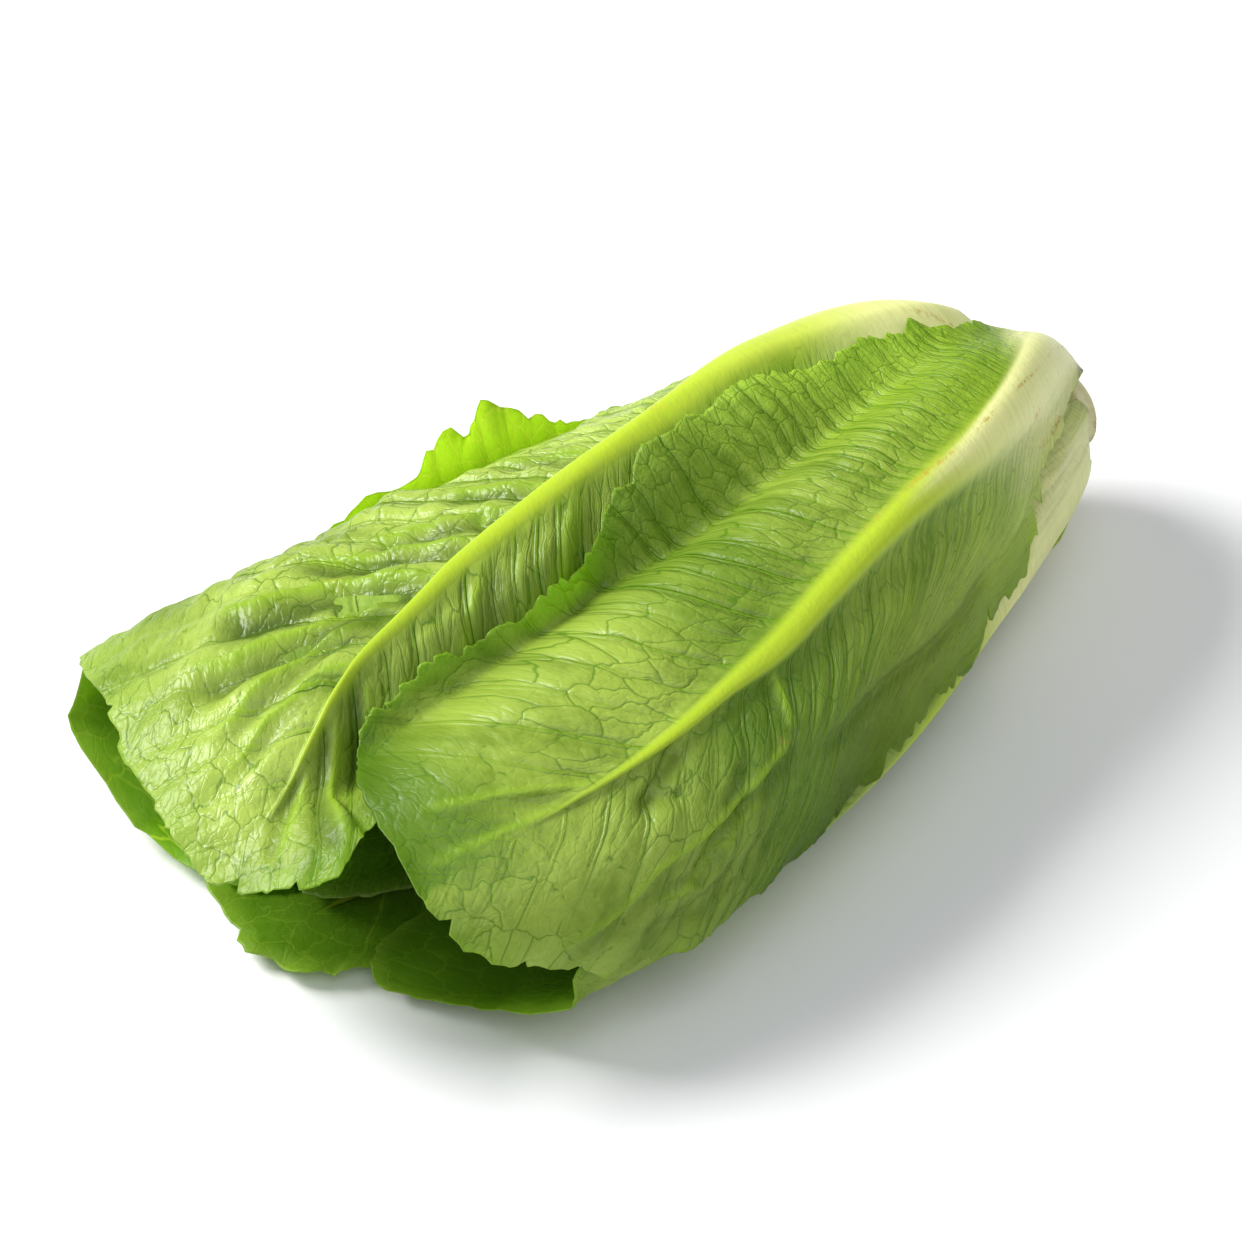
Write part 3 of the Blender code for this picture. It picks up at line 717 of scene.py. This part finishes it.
def leaf_triangles(index, points):
    """Both faces and the rim of a leaf, both faces split the same way."""
    a, b = index[:-1, :-1], index[1:, :-1]
    c, d = index[1:, 1:], index[:-1, 1:]
    face = np.concatenate([np.stack([a, b, c], -1).reshape(-1, 3),
                           np.stack([a, c, d], -1).reshape(-1, 3)])
    keep = (face[:, 0] != face[:, 1]) & (face[:, 1] != face[:, 2]) & (face[:, 0] != face[:, 2])
    face = face[keep]
    loop = np.concatenate([index[0, :-1], index[:, -1], index[-1, -2:0:-1]])
    after = np.roll(loop, -1)
    rim = np.concatenate([np.stack([loop, after, after + points], -1),
                          np.stack([loop, after + points, loop + points], -1)])
    return np.concatenate([face, face[:, ::-1] + points, rim])


def signed_volume(points, triangles):
    """Volume inside the triangles, negative where they face inward."""
    a, b, c = (points[triangles[:, i]] for i in range(3))
    return np.einsum("ij,ij->i", a, np.cross(b, c)).sum() / 6


def mesh_piece(name, points, triangles, attributes, material):
    """Smooth closed piece with vertex attributes for its material."""
    if signed_volume(points, triangles) < 0:
        triangles = triangles[:, ::-1]
    mesh = bpy.data.meshes.new(name)
    mesh.vertices.add(len(points))
    mesh.vertices.foreach_set("co", np.ascontiguousarray(points, np.float32).ravel())
    mesh.loops.add(3 * len(triangles))
    mesh.loops.foreach_set("vertex_index", np.ascontiguousarray(triangles, np.int32).ravel())
    mesh.polygons.add(len(triangles))
    mesh.polygons.foreach_set("loop_start", np.arange(0, 3 * len(triangles), 3, dtype=np.int32))
    mesh.polygons.foreach_set("use_smooth", np.ones(len(triangles), bool))
    mesh.update(calc_edges=True)
    mesh.validate()
    for key, values in attributes.items():
        layer = mesh.attributes.new(key, "FLOAT_VECTOR", "POINT")
        layer.data.foreach_set("vector", np.ascontiguousarray(values, np.float32).ravel())
    mesh.materials.append(material)
    piece = bpy.data.objects.new(name, mesh)
    bpy.context.scene.collection.objects.link(piece)
    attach(piece, BODY)
    return piece


def build_leaf(number, materials, box):
    """Detailed leaf in the place of its CAD node, kept inside the box."""
    leaf = LEAVES[number]
    seed = FIRST_SEED + SEED_STEP * number
    s, phi, t, w = leaf_lines(leaf, seed)
    outer, inner, masks = leaf_faces(number, s, phi, t, w, seed)
    index = grid_index(leaf["rows"], leaf["columns"])
    count = index.max() + 1
    flat = index.ravel()
    points = np.zeros((2 * count, 3))
    points[flat] = place(s, phi, outer).reshape(-1, 3)
    points[flat + count] = place(s, phi, inner).reshape(-1, 3)
    inward = np.clip(points[:count], *box) - points[:count]
    points = np.clip(points + np.tile(inward, (2, 1)), *box)
    v = masks["v"]
    layers = {"where": (s / MM_PER_CM, v / MM_PER_CM, 0), "marks": (masks["rib"], masks["line"], t),
              "growth": (share(leaf, s), dried_mask(leaf, s, v), masks["count"]),
              "tint": (masks["pale"], masks["dark"], masks["scar"]),
              "net": (masks["gap"], painted_light_and_shade_mask(leaf, s, v, t),
                      margin_mask(leaf, "glow", s, v, t)),
              "extra": (margin_mask(leaf, "fresh", s, v, t), 0, 0)}
    attributes = {}
    for key, (x, y, z) in layers.items():
        values = np.zeros((2 * count, 3))
        values[flat] = np.stack([x + 0 * s, y + 0 * s, z + 0 * s], -1).reshape(-1, 3)
        values[flat + count] = values[flat]
        attributes[key] = values
    attributes["where"][count:, 2] = 1
    triangles = leaf_triangles(index, count)
    piece = mesh_piece(leaf["name"] + "_look", points, triangles, attributes,
                       materials[leaf["look"]])
    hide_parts(leaf["name"])


# Materials.
class Nodes:
    """Short calls for building a material's node tree."""

    def __init__(self, name):
        self.material = bpy.data.materials.new(name)
        self.material.use_nodes = True
        self.tree = self.material.node_tree
        self.shader = self.tree.nodes["Principled BSDF"]
        self.out = self.tree.nodes["Material Output"]

    def new(self, kind, **settings):
        node = self.tree.nodes.new("ShaderNode" + kind)
        for key, value in settings.items():
            setattr(node, key, value)
        return node

    def link(self, source, target):
        self.tree.links.new(source, target)

    def feed(self, socket, value):
        if isinstance(value, bpy.types.NodeSocket):
            self.link(value, socket)
        elif isinstance(value, tuple) and len(value) == 3 and socket.type == "RGBA":
            socket.default_value = (*value, 1)
        else:
            socket.default_value = value

    def feed_all(self, sockets, values):
        for socket, value in zip(sockets, values):
            self.feed(socket, value)

    def attribute(self, name):
        """The three numbers kept at each point under a name."""
        parts = self.new("SeparateXYZ")
        self.link(self.new("Attribute", attribute_name=name).outputs["Vector"], parts.inputs[0])
        return parts.outputs

    def join(self, x, y):
        node = self.new("CombineXYZ")
        self.feed_all(node.inputs, (x, y))
        return node.outputs[0]

    def math(self, operation, *values):
        node = self.new("Math", operation=operation)
        self.feed_all(node.inputs, values)
        return node.outputs[0]

    def plus(self, total, *others):
        for other in others:
            total = self.math("ADD", total, other)
        return total

    def minus(self, a, b):
        return self.math("SUBTRACT", a, b)

    def times(self, a, b):
        return self.math("MULTIPLY", a, b)

    def ramp(self, value, low, high, to_low=0.0, to_high=1.0):
        """Ease from one number to another while the value goes from low to high."""
        node = self.new("MapRange", interpolation_type="SMOOTHSTEP")
        self.feed_all(list(node.inputs)[:5], (value, low, high, to_low, to_high))
        return node.outputs[0]

    def mix(self, factor, a, b):
        """Mix of two colours."""
        node = self.new("Mix", data_type="RGBA")
        self.feed_all((node.inputs[0], node.inputs[6], node.inputs[7]), (factor, a, b))
        return node.outputs[2]

    def mix_value(self, factor, a, b):
        node = self.new("Mix", data_type="FLOAT")
        self.feed_all((node.inputs[0], node.inputs[2], node.inputs[3]), (factor, a, b))
        return node.outputs[0]

    def noise(self, vector, scale, octaves=3.0, roughness=0.5, dimensions="2D"):
        node = self.new("TexNoise", noise_dimensions=dimensions)
        inputs = (node.inputs[name] for name in ("Vector", "Scale", "Detail", "Roughness"))
        self.feed_all(inputs, (vector, scale, octaves, roughness))
        return node.outputs["Fac"]

    def web(self, vector, scale):
        """Distance to the threads of a net."""
        node = self.new("TexVoronoi", feature="DISTANCE_TO_EDGE", voronoi_dimensions="2D")
        self.feed_all((node.inputs["Vector"], node.inputs["Scale"]), (vector, scale))
        return node.outputs["Distance"]

    def bump(self, height, strength, distance):
        node = self.new("Bump")
        inputs = (node.inputs[name] for name in ("Height", "Strength", "Distance"))
        self.feed_all(inputs, (height, strength, distance))
        return node.outputs["Normal"]


# Each look holds lit and shaded copies of its green (painted light and painted shade), a lighter
# green for painted light, a dark colour for painted shade in fold valleys, and vein colours painted
# lighter as if lit from behind.
LEAF_LOOKS = {
    "outer": {"deep": (0.10, 0.19, 0.004), "light": (0.36, 0.50, 0.062),
              "young": (0.27, 0.46, 0.008), "inside": (0.10, 0.25, 0.006),
              "bright": (0.50, 0.66, 0.12), "shaded": (0.085, 0.20, 0.001),
              "line": (0.07, 0.19, 0.002), "vein": (0.30, 0.50, 0.02), "lateral": (0.16, 0.33, 0.002),
              "shine": (0.44, 0.68, 0.05), "fold": (0.03, 0.075, 0.001), "fresh": (0.60, 0.84, 0.08),
              "rib": (0.50, 0.67, 0.03), "rib_tip": (0.40, 0.56, 0.02),
              "rib_base": (0.58, 0.68, 0.09), "base": (0.95, 0.95, 0.43),
              "through": (0.56, 0.90, 0.02)},
    "inner": {"deep": (0.16, 0.30, 0.02), "light": (0.30, 0.46, 0.06),
              "young": (0.30, 0.46, 0.05), "inside": (0.08, 0.20, 0.004),
              "bright": (0.30, 0.46, 0.06), "shaded": (0.16, 0.30, 0.02),
              "line": (0.12, 0.24, 0.01), "vein": (0.52, 0.64, 0.18),
              "shine": (0.30, 0.48, 0.05), "fold": (0.08, 0.17, 0.005),
              "lateral": (0.40, 0.56, 0.10), "fresh": (0.44, 0.66, 0.04),
              "rib": (0.62, 0.72, 0.20), "rib_tip": (0.45, 0.58, 0.08),
              "rib_base": (0.74, 0.80, 0.25), "base": (0.84, 0.84, 0.52),
              "through": (0.36, 0.60, 0.05)},
    "heart": {"deep": (0.34, 0.46, 0.06), "light": (0.52, 0.62, 0.14),
              "young": (0.55, 0.63, 0.15), "inside": (0.42, 0.54, 0.10),
              "bright": (0.52, 0.62, 0.14), "shaded": (0.34, 0.46, 0.06),
              "line": (0.30, 0.40, 0.05), "vein": (0.66, 0.72, 0.28),
              "shine": (0.50, 0.60, 0.12), "fold": (0.20, 0.30, 0.03),
              "lateral": (0.60, 0.68, 0.24), "fresh": (0.60, 0.70, 0.14),
              "rib": (0.74, 0.78, 0.36), "rib_tip": (0.64, 0.70, 0.24),
              "rib_base": (0.80, 0.82, 0.42), "base": (0.86, 0.85, 0.58),
              "through": (0.55, 0.68, 0.12)},
}
SCAR_BROWN = (0.60, 0.36, 0.05)
DRIED_BROWN = (0.16, 0.075, 0.03)
LIT_VEIN = (0.95, 0.99, 0.30)

# Net of veins: cells from one lateral vein to the next, and per cm out from and along the rib.
# The small net is SMALL_NET times finer.
NET_BETWEEN_VEINS = 1.6
NET_OUTWARD = 1.35
NET_ALONG = 1.25
SMALL_NET = 2.7
NET_SHIFT = 0.7
VEIN_WOBBLE = 0.16

# Height of the small relief, in mm.
PILLOW = 0.15
TIP_PILLOW = 0.06
SMALL_PILLOW = 0.06
VEIN_HEIGHT = 0.52
CREASE_DEPTH = 0.55
LUMP_HEIGHT = 0.5
FINE_HEIGHT = 0.11
GRAIN_HEIGHT = 0.07

# Share of the light that passes through.
THIN_BLADE = 0.16
THIN_MARGIN = 0.45
THIN_GLOW = 0.55
THIN_LIT = 0.67
THIN_RIB = 0.06


def leaf_places(m):
    """Everything that a leaf's points say to its material, by name."""
    names = {"where": ("s", "v", "side"), "marks": ("band", "line", "to_margin"),
             "growth": ("along", "dried", "number"), "tint": ("pale", "dark", "scar"),
             "net": ("gap", "shade", "glow"), "extra": ("fresh",)}
    at = {}
    for layer, parts in names.items():
        at.update(zip(parts, m.attribute(layer)))
    at["flat"] = m.join(at["s"], at["v"])
    at["fine"] = m.noise(at["flat"], 3.2, 3.0, 0.65)
    return at


def vein_lines(m, at):
    """Masks of the lateral veins and of the finer net between them."""
    wobble = m.noise(m.join(at["number"], at["v"]), 1.3, 2.0)
    number = m.plus(at["number"], m.times(m.minus(wobble, 0.5), VEIN_WOBBLE))
    nearest = m.math("ROUND", number)
    away = m.times(m.math("ABSOLUTE", m.minus(number, nearest)), at["gap"])
    chance = m.new("TexWhiteNoise", noise_dimensions="1D")
    m.feed(chance.inputs["W"], nearest)
    force = m.times(m.ramp(chance.outputs["Value"], 0.0, 0.7, 0.25, 1.0), m.ramp(at["gap"], 0.8, 2.4))
    force = m.times(force, m.ramp(at["along"], 0.82, 0.94, 1.0, 0.15))
    lateral = m.times(m.ramp(away, 0.14, 0.5, 1.0, 0.0), force)
    # The crease beside each lateral vein is sunk in the bump and also darkened in colour as painted
    # shade.
    crease_with_painted_shade = m.times(m.ramp(away, 0.3, 1.7, 1.0, 0.0), force)
    shift = m.times(m.noise(at["flat"], 1.6, 2.0), NET_SHIFT)
    out = m.minus(m.times(at["v"], NET_OUTWARD), shift)
    frame = m.join(m.plus(m.times(number, NET_BETWEEN_VEINS), shift), out)
    plain = m.join(m.plus(m.times(at["s"], NET_ALONG), shift), out)
    at_tip = m.ramp(at["along"], 0.80, 0.92)
    net, small = (m.mix_value(at_tip, m.web(frame, k), m.web(plain, k)) for k in (1.0, SMALL_NET))
    return lateral, crease_with_painted_shade, net, small


def blade_colour(m, look, at, tone):
    """Colour of the blade before its veins, with painted light and painted shade in it."""
    outer = m.mix(m.ramp(tone, 0.30, 0.62, 0.3, 1.0), look["deep"], look["light"])
    outer = m.mix(m.ramp(at["along"], 0.45, 0.15, 0.0, 0.75), outer, look["young"])
    # Painted light and shade: a lighter green where the light-and-shade mask is below 0, a darker
    # green where it is above 0.
    bright = m.times(m.ramp(at["shade"], 0.0, -1.0), m.ramp(tone, 0.3, 0.6, 0.35, 0.85))
    outer = m.mix(bright, outer, look["bright"])
    outer = m.mix(m.ramp(at["shade"], 0.0, 1.0, 0.0, 0.8), outer, look["shaded"])
    # Painted light: the inner face is painted lighter toward its margin, where light falls on the
    # rim.
    inner = m.mix(m.ramp(at["to_margin"], 0.75, 1.0, 0.0, 0.5), look["inside"], look["light"])
    blade = m.mix(m.times(at["side"], 0.9), outer, inner)
    # Painted light: a lighter green on the stretches marked as lit through from behind.
    return m.mix(m.times(at["fresh"], m.ramp(tone, 0.3, 0.6, 0.6, 0.95)), blade, look["fresh"])


def veined_colour(m, look, at, lines, blade):
    """The blade with its net and its lateral veins; on the inner face they are painted lighter, as
    light from behind.
    """
    lateral, crease_with_painted_shade, net, small = lines
    side = at["side"]
    # Painted light: on the inner face the net and veins are painted lighter as if lit from behind,
    # most where the leaf lets light through.
    thread = m.mix(side, look["line"], look["shine"])
    plain = m.mix_value(side, 1.0, m.ramp(at["glow"], 0.0, 0.6, 0.25, 1.3))
    # Painted shade in the creases beside the lateral veins.
    blade = m.mix(m.times(crease_with_painted_shade, 0.22), blade, thread)
    blade = m.mix(m.times(plain, m.ramp(small, 0.0, 0.05, 0.2, 0.0)), blade, thread)
    blade = m.mix(m.times(plain, m.ramp(net, 0.0, 0.045, 0.72, 0.0)), blade, thread)
    near = m.ramp(m.math("ABSOLUTE", at["v"]), 0.6, 4.5, 0.75, 0.4)
    near = m.times(near, m.minus(1.0, m.times(side, 0.4)))
    blade = m.mix(m.times(lateral, near), blade, m.mix(side, look["lateral"], look["shine"]))
    blade = m.mix(m.times(at["line"], 0.8), blade, look["vein"])
    # Painted shade in the valleys of the drawn veins and folds.
    return m.mix(m.times(at["dark"], 0.8), blade, look["fold"])


def rib_colour(m, look, at):
    """The rib, greener toward its tip and whitish toward the stem, with fine cross ticks."""
    rib = m.mix(m.ramp(at["along"], 0.35, 0.85), look["rib"], look["rib_tip"])
    rib = m.mix(m.ramp(at["along"], 0.42, 0.14), rib, look["rib_base"])
    rib = m.mix(m.times(at["pale"], 0.85), rib, look["base"])
    ticks = m.noise(m.join(m.times(at["s"], 7.0), m.times(at["v"], 0.7)), 1.0, 2.0)
    return m.mix(m.ramp(ticks, 0.45, 0.65, 0.0, 0.14), rib, look["light"])


def leaf_colour(m, look, at, lines):
    """Colour of a leaf: blade with darker net, paler veins and rib, whitish toward the stem, with
    painted light and shade.
    """
    patches = m.noise(at["flat"], 0.30, 3.0, 0.6)
    lengthwise = m.noise(m.join(m.times(at["number"], 1.3), m.times(at["v"], 0.35)), 1.0, 3.0)
    tone = m.plus(m.times(patches, 0.4), m.times(lengthwise, 0.4), m.times(at["fine"], 0.2))
    blade = veined_colour(m, look, at, lines, blade_colour(m, look, at, tone))
    streak = m.noise(m.join(m.times(at["s"], 0.3), m.times(at["v"], 3.0)), 1.5, 2.0)
    whitish = m.times(at["pale"], m.ramp(streak, 0.25, 0.6, 0.72, 1.0))
    blade = m.mix(whitish, blade, look["base"])
    blade = m.mix(m.ramp(at["to_margin"], 0.982, 1.0, 0.0, 0.5), blade, look["vein"])
    colour = m.mix(m.ramp(at["band"], 0.1, 0.85), blade, rib_colour(m, look, at))
    ragged = m.times(m.ramp(m.noise(at["flat"], 6.0, 3.0, 0.7), 0.40, 0.62, 0.0, 0.9),
                     m.ramp(m.noise(at["flat"], 0.9, 1.0), 0.42, 0.62, 0.1, 1.0))
    colour = m.mix(m.times(at["scar"], ragged), colour, SCAR_BROWN)
    flakes = m.ramp(m.noise(at["flat"], 7.0, 3.0, 0.7), 0.35, 0.55)
    return m.mix(m.times(at["dried"], flakes), colour, DRIED_BROWN)


def leaf_height(m, at, lines):
    """Height for the bump in mm: raised veins in creases, and pillows in the net."""
    lateral, crease_with_painted_shade, net, small = lines
    pillow = m.times(m.ramp(net, 0.0, 0.12), m.ramp(at["along"], 0.75, 0.9, PILLOW, TIP_PILLOW))
    small_pillow = m.times(m.ramp(small, 0.0, 0.16), SMALL_PILLOW)
    veins = m.minus(m.times(lateral, VEIN_HEIGHT), m.times(crease_with_painted_shade, CREASE_DEPTH))
    veins = m.times(veins, m.ramp(at["gap"], 2.2, 6.0, 0.3, 1.0))
    lumps = m.times(m.noise(at["flat"], 2.2, 2.0), LUMP_HEIGHT)
    height = m.plus(pillow, small_pillow, veins, lumps)
    height = m.times(height, m.ramp(at["band"], 0.0, 0.4, 1.0, 0.0))
    grain = m.times(m.noise(at["flat"], 11.0, 2.0), GRAIN_HEIGHT)
    height = m.plus(height, m.times(at["fine"], FINE_HEIGHT), grain)
    return m.times(height, m.minus(1.0, m.times(at["side"], 0.4)))


def passing_light(m, look, at, net, colour, normal):
    """Shader for the light that passes through the leaf, and its share."""
    net_line = m.times(m.ramp(net, 0.0, 0.06, 1.0, 0.0), at["side"])
    # The painted-light stretches also let more light through, with a paler colour.
    lit = m.times(at["fresh"], m.ramp(at["glow"], 0.0, 0.4))
    filtered = m.mix(net_line, look["through"], LIT_VEIN)
    filtered = m.mix(m.times(lit, 0.45), filtered, LIT_VEIN)
    through = m.new("BsdfTranslucent")
    m.feed(through.inputs["Color"], m.mix(m.ramp(at["glow"], 0.0, 1.0, 0.5, 0.9), colour, filtered))
    m.link(normal, through.inputs["Normal"])
    thin = m.ramp(at["to_margin"], 0.5, 0.95, THIN_BLADE, THIN_MARGIN)
    thin = m.mix_value(lit, m.mix_value(at["glow"], thin, THIN_GLOW), THIN_LIT)
    return through.outputs[0], m.mix_value(m.ramp(at["band"], 0.1, 0.8), thin, THIN_RIB)


def leaf_material(name, look):
    """Waxy leaf material."""
    m = Nodes(name)
    at = leaf_places(m)
    lines = vein_lines(m, at)
    colour = leaf_colour(m, look, at, lines)
    m.feed(m.shader.inputs["Base Color"], colour)
    satin = m.ramp(at["shade"], -0.8, 0.0, 0.19, 0.29)
    m.feed(m.shader.inputs["Roughness"], m.plus(m.times(at["fine"], 0.22), satin))
    m.shader.inputs["Specular IOR Level"].default_value = 0.38
    normal = m.bump(leaf_height(m, at, lines), 0.9, MM)
    m.link(normal, m.shader.inputs["Normal"])
    through, thin = passing_light(m, look, at, lines[2], colour, normal)
    blend = m.new("MixShader")
    m.feed_all(blend.inputs, (thin, m.shader.outputs[0], through))
    m.link(blend.outputs[0], m.out.inputs["Surface"])
    return m.material


# Stem.
CORE_CLEARANCE = 0.5
CORE_LENGTH = 62.0
CORE_RINGS = 90
CORE_SEGMENTS = 160
CORE_LEAST = 2.2
CORE_FACE = 13.5
CORE_FACE_ROUND = 2.0
CUT_RINGS = 26
CUT_DISH = 0.9
CUT_MIDDLE = 0.02
RIM_FADE = 2.0


def core_radius(s, phi):
    """Radius of the stem, kept clear of the inner face of every leaf."""
    free = head_radius(s, phi) - depth(len(LEAVES), s, phi) - CORE_CLEARANCE
    edge = CORE_FACE - CORE_FACE_ROUND * np.clip(1 - s / 2.0, 0, 1) ** 2
    taper = 1 - soft_step((s - 0.7 * CORE_LENGTH) / (0.4 * CORE_LENGTH))
    return np.maximum(np.minimum(free, edge) * taper, CORE_LEAST)


def core_wall():
    """Stations, angles and distances from the axis of the stem's side."""
    steps = np.linspace(0, 1, CORE_RINGS)
    s = (steps**1.5 * CORE_LENGTH)[:, None]
    phi = (np.arange(CORE_SEGMENTS) * 360 / CORE_SEGMENTS)[None, :]
    s, phi = s + 0 * phi, phi + 0 * s
    lumps = 0.35 * noise(s / 3, phi / 17, 5) + 0.2 * noise(s / 1.3, phi / 7, 6)
    r = core_radius(s, phi) - 0.3 + lumps * soft_step(s / 1.5)
    return s, phi, np.maximum(r, CORE_LEAST * 0.7)


def core_cut(phi, edge, inward):
    """Points of the slightly hollowed cut face."""
    r = edge * inward
    x, y = r * np.cos(np.radians(phi)), r * np.sin(np.radians(phi))
    dish = CUT_DISH * (1 - inward**6) + 0.22 * noise(x / 2.1, y / 2.1, 8) + 0.12 * noise(x, y, 9)
    return place(dish, phi + 0 * inward, r)


def core_triangles(count):
    """Triangles of the stem: its rings of points, then the middle point of each end."""
    index = np.arange(count * CORE_SEGMENTS).reshape(count, CORE_SEGMENTS)
    after = np.roll(index, -1, axis=1)
    middle = np.full(CORE_SEGMENTS, count * CORE_SEGMENTS)
    corners = ((index[:-1], after[:-1], after[1:]), (index[:-1], after[1:], index[1:]),
               (middle, after[0], index[0]), (middle + 1, index[-1], after[-1]))
    return np.concatenate([np.stack(three, -1).reshape(-1, 3) for three in corners])


def build_core(material):
    """Stem with a slightly hollowed, browned cut face."""
    s, phi, r = core_wall()
    inward = np.linspace(1, CUT_MIDDLE, CUT_RINGS)[1:, None]
    cut = core_cut(phi[:1], r[:1], inward)
    rings = np.concatenate([cut[::-1], place(s, phi, r)])
    ends = place(np.array([CUT_DISH, CORE_LENGTH]), np.zeros(2), np.zeros(2))
    points = np.concatenate([rings.reshape(-1, 3), ends])
    on_cut = np.zeros(len(points))
    on_cut[: (CUT_RINGS - 1) * CORE_SEGMENTS] = 1
    on_cut[-2] = 1
    on_face = (inward[::-1] + 0 * phi[:1]).ravel()
    reach = np.concatenate([on_face, np.exp(-s / RIM_FADE).ravel(), [0, 0]])
    layers = {"marks": np.stack([on_cut, reach, 0 * reach], -1)}
    piece = mesh_piece("core_look", points, core_triangles(len(rings)), layers, material)
    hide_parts("core")


def core_material():
    """Cream stem; the cut face is stained and dried brown, darkest at its rim."""
    m = Nodes("stem")
    on_cut, reach, _ = m.attribute("marks")
    coordinates = m.new("TexCoord").outputs["Object"]
    stain = m.noise(coordinates, 260.0, 5.0, 0.65, "3D")
    fibre = m.noise(coordinates, 900.0, 3.0, 0.5, "3D")
    cream = m.mix(m.ramp(stain, 0.35, 0.65), (0.80, 0.78, 0.52), (0.72, 0.66, 0.34))
    brown = m.mix(m.ramp(fibre, 0.35, 0.7), (0.20, 0.09, 0.035), (0.45, 0.27, 0.12))
    rim = m.ramp(m.plus(reach, m.times(stain, 0.35)), 0.85, 1.2)
    face = m.mix(m.ramp(stain, 0.45, 0.70, 0.25, 0.85), (0.66, 0.46, 0.22), brown)
    colour = m.mix(on_cut, cream, face)
    colour = m.mix(m.times(rim, 0.9), colour, brown)
    m.feed(m.shader.inputs["Base Color"], colour)
    m.feed(m.shader.inputs["Roughness"], m.ramp(stain, 0.3, 0.7, 0.45, 0.75))
    m.shader.inputs["Subsurface Weight"].default_value = 0.2
    m.shader.inputs["Subsurface Radius"].default_value = (1.0, 0.8, 0.4)
    m.shader.inputs["Subsurface Scale"].default_value = 0.004
    height = m.plus(stain, m.times(fibre, 0.4))
    m.link(m.bump(height, 0.6, 0.0008), m.shader.inputs["Normal"])
    return m.material


# Floor, light and camera.
VIEW_AZIMUTH = math.radians(-42)
VIEW_ELEVATION = math.radians(40)
VIEW_DISTANCE = 0.900
VIEW_TARGET = (0.0, 0.010, 0.030)
VIEW_HALF_WIDTH = 0.1435
SENSOR = 36.0
CLIP_START = 0.05
CLIP_END = 20
FLOOR_REACH = 6.0
FLOOR_COLOUR = (0.88, 0.885, 0.9, 1)
FLOOR_ROUGHNESS = 0.6
FLOOR_SPECULAR = 0.2
WORLD_COLOUR = (0.93, 0.96, 1.0, 1)
WORLD_STRENGTH = 0.33
# Azimuth and elevation in degrees, distance and size in metres, power in watts, colour.
LIGHTS = {
    "key": (-148, 43, 1.5, 0.7, 32, (1.0, 0.985, 0.96)),
    "fill": (-25, 60, 2.0, 1.7, 14.5, (1, 1, 1)),
}


def direction(azimuth, elevation):
    """Unit vector toward a place given by its azimuth and elevation."""
    return np.array([math.sin(azimuth) * math.cos(elevation),
                     -math.cos(azimuth) * math.cos(elevation), math.sin(elevation)])


def look_at(obj, toward):
    """Turn an object so that its -Z points along a direction."""
    obj.rotation_mode = "QUATERNION"
    obj.rotation_quaternion = Vector(tuple(toward)).to_track_quat("-Z", "Y")


def add_camera():
    """Camera at the photograph's angle."""
    data = bpy.data.cameras.new("camera")
    data.sensor_width = SENSOR
    data.lens = SENSOR / 2 * VIEW_DISTANCE / VIEW_HALF_WIDTH
    data.clip_start = CLIP_START
    data.clip_end = CLIP_END
    camera = bpy.data.objects.new("camera", data)
    bpy.context.scene.collection.objects.link(camera)
    back = direction(VIEW_AZIMUTH, VIEW_ELEVATION)
    camera.location = np.array(VIEW_TARGET) + back * VIEW_DISTANCE
    look_at(camera, -back)
    bpy.context.scene.camera = camera


def add_light(name, azimuth, elevation, distance, size, power, colour):
    """Square soft light aimed at the object."""
    data = bpy.data.lights.new(name, "AREA")
    data.shape = "SQUARE"
    data.size = size
    data.energy = power
    data.color = colour
    light = bpy.data.objects.new(name, data)
    bpy.context.scene.collection.objects.link(light)
    back = direction(math.radians(azimuth), math.radians(elevation))
    light.location = back * distance
    look_at(light, -back)


def add_floor():
    """Plain pale floor."""
    size = FLOOR_REACH
    mesh = bpy.data.meshes.new("floor")
    corners = [(-size, -size, 0), (size, -size, 0), (size, size, 0), (-size, size, 0)]
    mesh.from_pydata(corners, [], [(0, 1, 2, 3)])
    floor = bpy.data.objects.new("floor", mesh)
    bpy.context.scene.collection.objects.link(floor)
    m = Nodes("floor")
    m.shader.inputs["Base Color"].default_value = FLOOR_COLOUR
    m.shader.inputs["Roughness"].default_value = FLOOR_ROUGHNESS
    m.shader.inputs["Specular IOR Level"].default_value = FLOOR_SPECULAR
    mesh.materials.append(m.material)


def add_world():
    """Even pale surroundings."""
    world = bpy.data.worlds.new("world")
    world.use_nodes = True
    background = world.node_tree.nodes["Background"]
    background.inputs["Color"].default_value = WORLD_COLOUR
    background.inputs["Strength"].default_value = WORLD_STRENGTH
    bpy.context.scene.world = world


def main():
    """Dress the part."""
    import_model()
    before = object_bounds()
    inset = (np.array(before[0]) + BOX_INSET, np.array(before[1]) - BOX_INSET)
    inset[0][2] = 0
    materials = {look: leaf_material(look + "_leaf", LEAF_LOOKS[look]) for look in LEAF_LOOKS}
    for number in range(len(LEAVES)):
        build_leaf(number, materials, inset)
    build_core(core_material())
    add_floor()
    add_world()
    for name, settings in LIGHTS.items():
        add_light(name, *settings)
    add_camera()
    bpy.context.scene.view_settings.view_transform = "Standard"


main()
